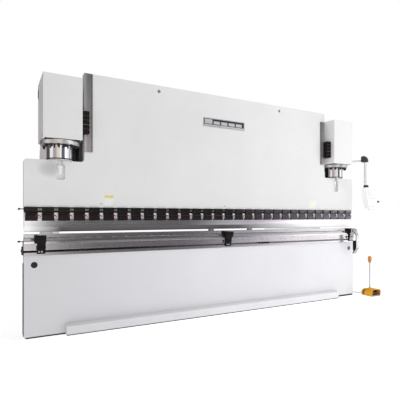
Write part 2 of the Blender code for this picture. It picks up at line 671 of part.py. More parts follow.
def support_stop():
    """Drop stop hinged at the right arm's front end, hanging down."""
    hinge = (SUPPORTS["right"], HINGE_Y, HINGE_Z)
    outline = [     # y, z from the hinge
        (0.006, 0), (-0.008, 0), (-0.060, -0.080), (-0.068, -0.092), (-0.068, -0.342),
        (-0.052, -0.366), (-0.016, -0.412), (0.014, -0.452), (0.022, -0.444),
        (0.004, -0.400), (0.016, -0.366), (0.016, -0.200), (-0.004, -0.194),
        (-0.054, -0.194), (-0.054, -0.096)]
    shape = rod(0.013, -0.0395, 0.0395, hinge, "X", 14)
    stop = make("support_stop", shape, BLACK, smooth=True)
    join(stop, prism([(HINGE_Y + y, HINGE_Z + z) for y, z in outline],
                     "X", hinge[0] - 0.0385, hinge[0] + 0.0385))
    pivot(stop, hinge)


# ----------------------------------------------------------- pendant panel
PIVOT_X, PIVOT_Y = 2.770, 0.560      # pivot of the arm, beside the right frame
ELBOW_X, ELBOW_Y = 3.110, -0.310     # elbow and drop tube
ARM_Z = 2.660                        # height of the arm
TUBE_LOW = 2.140
PANEL_LOW, PANEL_TOP = 1.722, 2.135
PANEL_FRONT = ELBOW_Y - 0.045        # front edge at the panel's top
LEAN = 0.075                 # the front leans back by this much over its height
BUTTON_Z = 1.855
BUTTON = Vector((3.330,
                 PANEL_FRONT - LEAN * (PANEL_TOP - BUTTON_Z) / (PANEL_TOP - PANEL_LOW),
                 BUTTON_Z))
PANEL_NORMAL = Vector((0, PANEL_LOW - PANEL_TOP, LEAN))
# local +Z of the button stands square to the leaning front
BUTTON_PLACE = (Matrix.Translation(BUTTON)
                @ PANEL_NORMAL.to_track_quat("Z", "Y").to_matrix().to_4x4())


def pendant_bracket():
    shape = box(FRAME_OUTER, PIVOT_X - 0.02, PIVOT_Y - 0.06, PIVOT_Y + 0.06,
                ARM_Z - 0.13, ARM_Z - 0.03)
    bracket = make("pendant_bracket", shape, WHITE)
    join(bracket, rod(0.045, ARM_Z - 0.14, ARM_Z - 0.0205, (PIVOT_X, PIVOT_Y, 0), "Z", 20))


def pendant_arm():
    start, end = (PIVOT_X, PIVOT_Y, ARM_Z), (ELBOW_X, ELBOW_Y, ARM_Z)
    arm = make("pendant_arm", pipe([start, end], 0.018, 12), WHITE, smooth=True)
    join(arm, rod(0.045, -0.020, 0.045, start, "Z", 20), rod(0.040, -0.030, 0.040, end, "Z", 16))
    pivot(arm, start)


def pendant_panel():
    """Drop tube, its lower sleeve and the box, bored for the stop button."""
    axis = (ELBOW_X, ELBOW_Y, 0)
    shape = rod(0.038, TUBE_LOW + 0.05, ARM_Z - 0.0305, axis, "Z", 20)
    panel = make("pendant_panel", shape, WHITE, smooth=True)
    back = ELBOW_Y + 0.055
    profile = [(PANEL_FRONT, PANEL_TOP), (back, PANEL_TOP), (back, 1.930),
               (ELBOW_Y - 0.020, PANEL_LOW), (PANEL_FRONT - LEAN, PANEL_LOW)]
    join(panel, rod(0.034, TUBE_LOW - 0.02, TUBE_LOW + 0.06, axis, "Z", 16),
         prism(profile, "X", 3.055, 3.395))
    cut(panel, placed(rod(0.013, -0.030, 0.05, (0, 0, 0), "Z", 16), BUTTON_PLACE))
    pivot(panel, (ELBOW_X, ELBOW_Y, TUBE_LOW))


def pendant_stop_button():
    profile = [(0, -0.018), (0.011, -0.018), (0.011, 0.014), (0.021, 0.016),
               (0.022, 0.024), (0.016, 0.032), (0, 0.033)]
    shape = placed(turned(profile, (0, 0, 0), "Z", 16), BUTTON_PLACE)
    button = make("pendant_stop_button", shape, PENDANT_RED, smooth=True)
    pivot(button, BUTTON)


# ------------------------------------------------------------- foot switch
# drawn with the toe opening towards +X, then turned to open towards the operator
FOOT_PLACE = Matrix.Translation((3.285, -0.243, 0)) @ Matrix.Rotation(radians(-90), 4, "Z")
POLE_X, POLE_Y = 0.027, -0.015   # in the switch's own axes
POLE = (POLE_X, POLE_Y, 0)


def foot_switch_body():
    """Hood with a toe opening, and the pole standing on it."""
    hood = [        # x, z
        (-0.165, 0.0), (0.165, 0.0), (0.165, 0.134), (0.020, 0.136), (-0.050, 0.129),
        (-0.100, 0.112), (-0.140, 0.084), (-0.165, 0.045)]
    plan = [        # x, y
        (0.20, -0.135), (0.20, 0.135), (0.165, 0.135), (0.010, 0.128), (-0.050, 0.116),
        (-0.100, 0.094), (-0.140, 0.060), (-0.163, 0.022), (-0.163, -0.022),
        (-0.140, -0.060), (-0.100, -0.094), (-0.050, -0.116), (0.010, -0.128),
        (0.165, -0.135)]
    opening = [     # x, z
        (-0.070, 0.020), (0.30, 0.020), (0.30, 0.118), (0.020, 0.120), (-0.035, 0.106),
        (-0.070, 0.080)]
    mouth = [(0.030, 0.020), (0.30, 0.020), (0.30, 0.118), (0.030, 0.118)]   # x, z
    cup = [         # radius, z
        (0, 0.640), (0.014, 0.640), (0.020, 0.655), (0.031, 0.690), (0.034, 0.700),
        (0.034, 0.712), (0, 0.712)]
    shape = placed(prism(hood, "Y", -0.140, 0.140), FOOT_PLACE)
    body = make("foot_switch_body", shape, FOOT_YELLOW)
    combine(body, [placed(prism(plan, "Z", -0.10, 0.30), FOOT_PLACE)], "INTERSECT")
    cut(body, placed(prism(opening, "Y", -0.096, 0.096), FOOT_PLACE),
        placed(prism(mouth, "Y", -0.116, 0.116), FOOT_PLACE))
    join(body, placed(rod(0.011, 0.125, 0.660, POLE, "Z", 12), FOOT_PLACE),
         placed(turned(cup, POLE, "Z", 14), FOOT_PLACE))
    cut(body, placed(rod(0.013, 0.672, 0.80, POLE, "Z", 12), FOOT_PLACE))


def foot_stop_button():
    profile = [(0, 0.684), (0.011, 0.684), (0.011, 0.722), (0.034, 0.722), (0.038, 0.730),
               (0.038, 0.752), (0.028, 0.773), (0, 0.777)]
    shape = placed(turned(profile, POLE, "Z", 14), FOOT_PLACE)
    button = make("foot_stop_button", shape, FOOT_RED, smooth=True)
    pivot(button, FOOT_PLACE @ Vector((POLE_X, POLE_Y, 0.714)))


def foot_treadle():
    """Treadle in the opening, pivoted at its inner end."""
    profile = [(-0.045, 0.036), (0.142, 0.054), (0.142, 0.068), (-0.045, 0.052)]
    shape = placed(prism(profile, "Y", -0.092, 0.092), FOOT_PLACE)
    treadle = make("foot_treadle", shape, BLACK)
    pivot(treadle, FOOT_PLACE @ Vector((-0.045, 0, 0.044)))


def foot_switch_cable():
    """Cable from the closed end of the hood to the cabinet's underside."""
    start = FOOT_PLACE @ Vector((-0.1655, 0.0, 0.030))
    path = [start, start + Vector((-0.006, 0.035, -0.012)), (3.235, 0.060, 0.012),
            (3.140, 0.240, 0.012), (3.040, 0.480, 0.012), (2.90, 0.90, 0.05),
            (2.85, 0.95, 0.20), (2.85, 0.95, 0.5997)]
    make("foot_switch_cable", pipe(path, 0.007), BLACK, smooth=True)


# ------------------------------------------------------------------- build
SINGLE_PIECES = (
    ram_plate, name_plate, tool_clamps, punch, bed_plate, foot_strip, worktable, die_holder,
    v_die, oil_tank, lower_cross_beam, pump_motor, valve_block, pressure_pipes,
    electrical_cabinet, cabinet_door, main_switch, backgauge_beam, support_stop,
    pendant_bracket, pendant_arm, pendant_panel, pendant_stop_button,
    foot_switch_body, foot_stop_button, foot_treadle, foot_switch_cable)
SIDE_PIECES = (
    wear_strip, piston_rod, tie_stud, c_frame, cylinder, gland_flange, cylinder_cover,
    guide_rail, guide_shoe, backgauge_rail, backgauge_screw)

for build in SINGLE_PIECES:
    build()
for side_name, side_sign in SIDES:
    for build in SIDE_PIECES:
        build(side_name, side_sign)
for finger_name, finger_x in FINGERS:
    backgauge_finger(finger_name, finger_x)
for support_name, support_x in SUPPORTS.items():
    support_slider(support_name, support_x)
    support_arm(support_name, support_x)
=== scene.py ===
"""Press brake: finishes, fine shapes, light and camera around its CAD pieces.

Metres. +X runs along the bed to the right, -Y is the operator's front and +Z is up;
the machine stands on z = 0, centred on x = 0, with the ram and bed plates close to y = 0.
"""
import bpy
import bmesh
import json
import math
import random
from math import sin, cos, pi, radians
from mathutils import Vector, Matrix

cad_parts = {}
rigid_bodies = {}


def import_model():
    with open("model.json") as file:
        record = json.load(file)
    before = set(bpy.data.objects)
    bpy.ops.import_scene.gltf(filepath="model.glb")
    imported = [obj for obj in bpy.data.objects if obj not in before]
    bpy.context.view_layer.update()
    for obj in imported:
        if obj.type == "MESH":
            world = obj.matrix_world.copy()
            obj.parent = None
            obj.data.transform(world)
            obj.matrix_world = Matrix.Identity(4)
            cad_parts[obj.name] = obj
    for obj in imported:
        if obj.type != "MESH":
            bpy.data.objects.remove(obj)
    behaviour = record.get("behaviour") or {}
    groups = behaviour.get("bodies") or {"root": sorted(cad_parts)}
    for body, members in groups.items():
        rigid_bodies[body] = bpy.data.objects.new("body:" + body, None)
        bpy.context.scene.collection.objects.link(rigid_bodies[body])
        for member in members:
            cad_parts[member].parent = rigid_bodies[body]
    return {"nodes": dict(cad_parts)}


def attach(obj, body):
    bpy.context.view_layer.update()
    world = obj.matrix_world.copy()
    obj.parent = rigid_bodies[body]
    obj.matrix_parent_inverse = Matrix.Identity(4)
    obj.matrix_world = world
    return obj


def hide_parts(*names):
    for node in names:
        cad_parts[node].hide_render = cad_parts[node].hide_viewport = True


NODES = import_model()["nodes"]
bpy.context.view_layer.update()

SIDES = (("left", -1), ("right", 1))
UP, DOWN = (0, 0, 1), (0, 0, -1)
FRONT, BACK = (0, -1, 0), (0, 1, 0)
LEFT, RIGHT = (-1, 0, 0), (1, 0, 0)


# ============================================================ node helpers
def feed(tree, socket, value):
    """Link a socket to an input, or write a plain value into it."""
    if isinstance(value, bpy.types.NodeSocket):
        tree.links.new(value, socket)
    elif isinstance(value, (tuple, list)) and socket.type == "RGBA" and len(value) == 3:
        socket.default_value = (*value, 1.0)
    else:
        socket.default_value = value


def add_node(tree, kind, inputs=None, **props):
    node = tree.nodes.new(kind)
    for name, value in props.items():
        setattr(node, name, value)
    for name, value in (inputs or {}).items():
        feed(tree, node.inputs[name], value)
    return node


class Look:
    """One node-based material under construction."""

    def __init__(self, name):
        self.material = bpy.data.materials.new(name)
        self.material.use_nodes = True
        self.tree = self.material.node_tree
        self.shader = self.tree.nodes["Principled BSDF"]
        self.place = self.node("ShaderNodeTexCoord").outputs["Object"]

    def node(self, kind, inputs=None, **props):
        return add_node(self.tree, kind, inputs, **props)

    def finish(self, inputs):
        """Feed the shader's inputs and hand back the material."""
        for name, value in inputs.items():
            feed(self.tree, self.shader.inputs[name], value)
        return self.material

    def noise(self, scale, detail=3.0, rough=0.55, vec=None, distort=0.0):
        return self.node("ShaderNodeTexNoise", {
            "Vector": vec or self.place, "Scale": scale, "Detail": detail,
            "Roughness": rough, "Distortion": distort}).outputs["Fac"]

    def stretched(self, xyz, detail, rough=0.6, scale=1.0):
        """Noise on coordinates scaled by xyz: a small factor draws it out along that axis."""
        vec = self.node("ShaderNodeMapping", {"Vector": self.place, "Scale": xyz}).outputs[0]
        return self.noise(scale=scale, detail=detail, rough=rough, vec=vec)

    def ramp(self, value, over, to=(0.0, 1.0)):
        """Value mapped from one range to another, clamped."""
        return self.node("ShaderNodeMapRange", {
            "Value": value, "From Min": over[0], "From Max": over[1],
            "To Min": to[0], "To Max": to[1]}).outputs[0]

    def mix(self, factor, first, second):
        return self.node("ShaderNodeMix", {"Factor": factor, 6: first, 7: second},
                         data_type="RGBA").outputs[2]

    def math(self, operation, first, second=0.0):
        return self.node("ShaderNodeMath", {0: first, 1: second}, operation=operation).outputs[0]

    def bump(self, height, strength, dist, normal=None):
        inputs = {"Height": height, "Strength": strength, "Distance": dist}
        if normal is not None:
            inputs["Normal"] = normal
        return self.node("ShaderNodeBump", inputs).outputs[0]

    def edges(self, radius):
        """About 1 along the edges of a shape and 0 on its flats."""
        soft = self.node("ShaderNodeBevel", {"Radius": radius}, samples=4).outputs[0]
        true = self.node("ShaderNodeNewGeometry").outputs["Normal"]
        dot = self.node("ShaderNodeVectorMath", {0: soft, 1: true}, operation="DOT_PRODUCT")
        return self.ramp(dot.outputs["Value"], over=(0.995, 0.80))

    def rubbed(self):
        """Patchy wear along the edges."""
        return self.math("MULTIPLY", self.edges(radius=0.0022),
                         self.ramp(self.noise(scale=30, detail=4), over=(0.35, 0.6)))

    def axis(self, index):
        return self.node("ShaderNodeSeparateXYZ", {0: self.place}).outputs[index]


def shade(colour, factor):
    return tuple(min(1.0, channel * factor) for channel in colour)


# ============================================================ kinds of finish
def enamel(name, colour, rough=0.36, peel=1.0, dirt_low=False, shade_in=0.35, reach=0.05,
           painted_falloff=None, painted_shadow=None):
    """Sprayed machine enamel: orange peel, faint waviness, handled edges, a little dust.

    Painted shade: the AO node darkens the colour in corners and recesses (shade_in, reach).
    A falloff, if given, is painted shade toward the machine's left end, away from the light:
    (x of the shaded end, x of the full tone, shade); a painted shadow, if given, is an
    elliptical dark patch (centre x, centre z, half width, half height, strength).
    """
    look = Look(name)
    broad = look.noise(scale=0.9, detail=3)
    patch = look.noise(scale=7, detail=4, rough=0.6)
    tone = look.mix(look.ramp(broad, over=(0.35, 0.65)), shade(colour, 0.965),
                    shade(colour, 1.015))
    tone = look.mix(look.ramp(patch, over=(0.56, 0.80), to=(0, 0.30)), tone, shade(colour, 0.90))
    if dirt_low:
        dust = (0.42, 0.40, 0.37)
        low = look.math("MULTIPLY", look.ramp(look.axis(2), over=(0.16, 0.0)),
                        look.ramp(look.noise(scale=14, detail=5), over=(0.35, 0.75)))
        tone = look.mix(look.math("MULTIPLY", low, 0.30), tone, dust)
    # painted shade: the colour darkens toward the machine's left end, away from the light
    if painted_falloff:
        shaded_x, full_x, depth = painted_falloff
        tone = look.mix(look.ramp(look.axis(0), over=(shaded_x, full_x)),
                        shade(colour, depth), tone)
    # painted shadow: a soft dark elliptical patch cast on the surface
    if painted_shadow:
        mid_x, mid_z, half_x, half_z, strength = painted_shadow
        off_x = look.math("MULTIPLY", look.math("SUBTRACT", look.axis(0), mid_x), 1.0 / half_x)
        off_z = look.math("MULTIPLY", look.math("SUBTRACT", look.axis(2), mid_z), 1.0 / half_z)
        far = look.math("ADD", look.math("MULTIPLY", off_x, off_x),
                        look.math("MULTIPLY", off_z, off_z))
        tone = look.mix(look.ramp(far, over=(1, 0), to=(0, strength)), tone, shade(colour, 0.45))
    # painted shade in corners, creases and recesses, where the AO node finds surfaces close by
    open_sky = look.node("ShaderNodeAmbientOcclusion", {"Distance": reach}, samples=4)
    tone = look.mix(look.ramp(open_sky.outputs["AO"], over=(0.75, 0.25), to=(0, shade_in)),
                    tone, shade(colour, 0.55))
    edge = look.edges(radius=0.0025)
    chips = look.math("MULTIPLY", edge,
                      look.ramp(look.noise(scale=45, detail=5, rough=0.7), over=(0.52, 0.60)))
    bare_metal = (0.36, 0.35, 0.34)
    tone = look.mix(look.math("MULTIPLY", chips, 0.5), tone, bare_metal)
    gloss = look.ramp(patch, over=(0.25, 0.75), to=(rough - 0.06, rough + 0.10))
    fine = look.noise(scale=420, detail=2, rough=0.5)
    wave = look.noise(scale=5, detail=2, rough=0.4)
    waviness = look.bump(wave, strength=0.12, dist=0.002)
    return look.finish({
        "Base Color": tone, "Roughness": gloss, "Coat Weight": 0.15, "Coat Roughness": 0.25,
        "Normal": look.bump(fine, strength=0.10 * peel, dist=0.0004, normal=waviness)})


def ground(name, colour, along="X", rough=0.30, dark=0.35, stain=0.5, metal=1.0, spread=1.0):
    """Ground or rolled steel: streaks along the work, cloudy oil film, small stains."""
    look = Look(name)
    long_axis = "XYZ".index(along)
    streak_scale = [60, 60, 60]
    streak_scale[long_axis] = 0.6
    hair_scale = [700, 700, 700]
    hair_scale[long_axis] = 3
    streak = look.stretched(streak_scale, detail=5)
    hair = look.stretched(hair_scale, detail=3)
    cloud = look.noise(scale=1.6, detail=5, rough=0.6, distort=0.4)
    tone = look.mix(look.ramp(streak, over=(0.30, 0.70)), shade(colour, 1.0 - dark),
                    shade(colour, 1.12))
    tone = look.mix(look.ramp(cloud, over=(0.45, 0.75), to=(0, stain)), tone, shade(colour, 0.62))
    spots = look.ramp(look.noise(scale=38, detail=6, rough=0.65), over=(0.66, 0.74), to=(0, 0.35))
    rust = (0.20, 0.16, 0.13)
    tone = look.mix(spots, tone, rust)
    tone = look.mix(look.math("MULTIPLY", look.edges(radius=0.002), 0.6), tone,
                    shade(colour, 1.35))
    gloss = look.ramp(hair, over=(0.3, 0.7), to=(rough - 0.08 * spread, rough + 0.10 * spread))
    film = look.ramp(cloud, over=(0.4, 0.7), to=(0, 0.08 * spread))
    relief = look.bump(streak, strength=0.05 * spread, dist=0.0006)
    return look.finish({
        "Base Color": tone, "Metallic": metal, "Roughness": look.math("ADD", gloss, film),
        "Anisotropic": 0.5,
        "Normal": look.bump(hair, strength=0.12 * spread, dist=0.0003, normal=relief)})


def chrome(name, tint=(0.82, 0.82, 0.84), rough=0.07):
    look = Look(name)
    film = look.stretched((1, 1, 0.25), detail=4, scale=5)
    rings = look.stretched((4, 4, 500), detail=3)
    return look.finish({
        "Base Color": look.mix(look.ramp(film, over=(0.35, 0.7)), shade(tint, 0.93), tint),
        "Metallic": 1.0,
        "Roughness": look.ramp(film, over=(0.35, 0.75), to=(rough, rough + 0.07)),
        "Normal": look.bump(rings, strength=0.04, dist=0.0002)})


def blacked(name, colour, rough, metal, wear, spec=0.5):
    """Blacked steel: faint grain, edges rubbed to grey, fingerprints in the gloss."""
    look = Look(name)
    grain = look.noise(scale=260, detail=3, rough=0.6)
    cloud = look.noise(scale=9, detail=4, rough=0.6)
    tone = look.mix(look.ramp(cloud, over=(0.35, 0.7)), shade(colour, 0.8), shade(colour, 1.5))
    bare_grey = (0.30, 0.29, 0.29)
    tone = look.mix(look.math("MULTIPLY", look.rubbed(), wear), tone, bare_grey)
    return look.finish({
        "Base Color": tone, "Metallic": metal,
        "Roughness": look.ramp(cloud, over=(0.3, 0.7), to=(rough - 0.08, rough + 0.12)),
        "Specular IOR Level": spec,
        "Normal": look.bump(grain, strength=0.15, dist=0.0003)})


def moulded(name, colour, rough=0.40, grain=600.0, depth=0.10, spec=0.5):
    """Moulded plastic or rubber: spark-eroded grain, slight tint drift, scuffs."""
    look = Look(name)
    fine = look.noise(scale=grain, detail=2, rough=0.5)
    cloud = look.noise(scale=11, detail=3, rough=0.6)
    scuff = look.ramp(look.stretched((60, 12, 40), detail=4, rough=0.7),
                      over=(0.63, 0.72), to=(0, 0.35))
    tone = look.mix(look.ramp(cloud, over=(0.3, 0.7)), shade(colour, 0.90), shade(colour, 1.05))
    tone = look.mix(scuff, tone, tuple(0.6 * channel + 0.16 for channel in colour))
    return look.finish({
        "Base Color": tone,
        "Roughness": look.ramp(cloud, over=(0.3, 0.7), to=(rough - 0.05, rough + 0.10)),
        "Specular IOR Level": spec,
        "Normal": look.bump(fine, strength=depth, dist=0.0003)})


def glow_lens(name, colour):
    """Glossy coated plastic or glass."""
    look = Look(name)
    cloud = look.noise(scale=30, detail=2)
    return look.finish({
        "Base Color": look.mix(look.ramp(cloud, over=(0.3, 0.7)), shade(colour, 0.95), colour),
        "Roughness": look.ramp(cloud, over=(0.3, 0.7), to=(0.08, 0.16)),
        "Coat Weight": 0.6,
        "Normal": look.bump(look.noise(scale=60, detail=2), strength=0.03, dist=0.0002)})


def wear_strip(name):
    """Ground guide strip with painted light: painted shade by its inner edge and top, painted
    highlight by its outer edge and low down.
    """
    look = Look(name)
    low = look.ramp(look.axis(2), over=(3.46, 2.50))
    across = look.math("ABSOLUTE", look.axis(0))
    streak = look.stretched((80, 80, 0.9), detail=5)
    hair = look.stretched((700, 700, 4), detail=3)
    cloud = look.noise(scale=6, detail=4, rough=0.6, distort=0.5)
    # each pair is the painted-shade tone at the top and the painted-highlight tone low down
    body = ((0.19, 0.187, 0.195), (0.40, 0.365, 0.365))
    outer = ((0.44, 0.44, 0.46), (0.72, 0.64, 0.63))
    inner_painted_shade, streak_dark, oil = (0.085, 0.08, 0.08), (0.15, 0.145, 0.15), (0.22, 0.17, 0.14)
    tone = look.mix(low, *body)
    # painted highlight along the outer edge
    tone = look.mix(look.ramp(across, over=(2.205, 2.246), to=(0, 0.85)), tone,
                    look.mix(low, *outer))
    # painted shade along the inner edge
    tone = look.mix(look.ramp(across, over=(2.172, 2.142), to=(0, 0.75)), tone, inner_painted_shade)
    tone = look.mix(look.ramp(streak, over=(0.35, 0.70), to=(0, 0.30)), tone, streak_dark)
    tone = look.mix(look.ramp(cloud, over=(0.55, 0.75), to=(0, 0.22)), tone, oil)
    return look.finish({
        "Base Color": tone, "Metallic": 0.25,
        "Roughness": look.ramp(hair, over=(0.3, 0.7), to=(0.24, 0.38)),
        "Normal": look.bump(hair, strength=0.12, dist=0.0003)})


def clamp_black(name):
    """Blacked clamp steel painted lighter toward the right end of the row: a painted sheen where
    the clamps catch the light.
    """
    look = Look(name)
    grain = look.noise(scale=260, detail=3, rough=0.6)
    cloud = look.noise(scale=9, detail=4, rough=0.6)
    uneven_x = look.math("ADD", look.axis(0), look.ramp(cloud, over=(0.3, 0.7), to=(-0.25, 0.25)))
    # painted sheen: the clamps turn lighter toward the right end, where the light falls
    painted_sheen_right = look.ramp(uneven_x, over=(0.2, 3.0))
    # each pair is the tone at the left and the painted-sheen tone at the right end
    film = ((0.040, 0.035, 0.036), (0.22, 0.205, 0.23))
    deep = ((0.014, 0.012, 0.012), (0.12, 0.11, 0.13))
    edge = ((0.13, 0.12, 0.12), (0.62, 0.60, 0.64))
    tone = look.mix(painted_sheen_right, *film)
    tone = look.mix(look.ramp(cloud, over=(0.40, 0.75), to=(0, 0.5)), tone,
                    look.mix(painted_sheen_right, *deep))
    tone = look.mix(look.math("MULTIPLY", look.rubbed(), 0.35), tone, look.mix(painted_sheen_right, *edge))
    return look.finish({
        "Base Color": tone, "Metallic": 1.0,
        "Roughness": look.ramp(cloud, over=(0.3, 0.7), to=(0.26, 0.42)),
        "Normal": look.bump(grain, strength=0.12, dist=0.0003)})


def painted_light_along(name, left, right, span_x, rough):
    """Dull finish painted lighter toward the right end of the machine, where the light falls
    (painted light), handled and lightly scuffed.
    """
    look = Look(name)
    grain = look.noise(scale=500, detail=2, rough=0.5)
    cloud = look.noise(scale=11, detail=3, rough=0.6)
    grime = (0.03, 0.028, 0.03)
    # painted light: the tone runs from the left colour to the lighter right colour along x
    tone = look.mix(look.ramp(look.axis(0), over=span_x), left, right)
    tone = look.mix(look.ramp(cloud, over=(0.4, 0.75), to=(0, 0.35)), tone, grime)
    return look.finish({
        "Base Color": tone,
        "Roughness": look.ramp(cloud, over=(0.3, 0.7), to=(rough - 0.06, rough + 0.08)),
        "Specular IOR Level": 0.3,
        "Normal": look.bump(grain, strength=0.06, dist=0.0003)})


def tip_steel(name, deep, low=None):
    """Dull steel face with painted light: lighter and glowing toward both ends of the machine
    (painted highlight), with painted shade below if low is given.
    """
    look = Look(name)
    x = look.axis(0)
    streak = look.stretched((0.6, 60, 60), detail=5)
    hair = look.stretched((3, 700, 700), detail=3)
    ends = look.math("MAXIMUM", look.ramp(x, over=(-2.55, -2.95)), look.ramp(x, over=(0.3, 1.9)))
    grey, painted_end_highlight = (deep, deep, deep), (0.72, 0.71, 0.73)
    tone = look.mix(ends, (deep, deep * 0.97, deep), painted_end_highlight)
    tone = look.mix(look.ramp(streak, over=(0.35, 0.7), to=(0, 0.5)), tone, shade(grey, 0.7))
    # painted shade on the lowest part of the face
    if low:
        tone = look.mix(look.ramp(look.axis(2), over=low, to=(1, 0)), tone, shade(grey, 0.25))
    return look.finish({
        "Base Color": tone,
        # the ends glow: painted highlight
        "Emission Color": look.mix(ends, (0.0, 0.0, 0.0), (1.0, 1.0, 1.0)),
        "Emission Strength": 0.50, "Metallic": 0.15, "Specular IOR Level": 0.25,
        "Roughness": look.ramp(hair, over=(0.3, 0.7), to=(0.36, 0.50)),
        "Normal": look.bump(hair, strength=0.05, dist=0.0003)})


def lit(material, colour, strength):
    """Lift a finish with a little light of its own, for faces in deep pockets or in glare."""
    inputs = material.node_tree.nodes["Principled BSDF"].inputs
    inputs["Emission Color"].default_value = (*colour, 1)
    inputs["Emission Strength"].default_value = strength
    return material


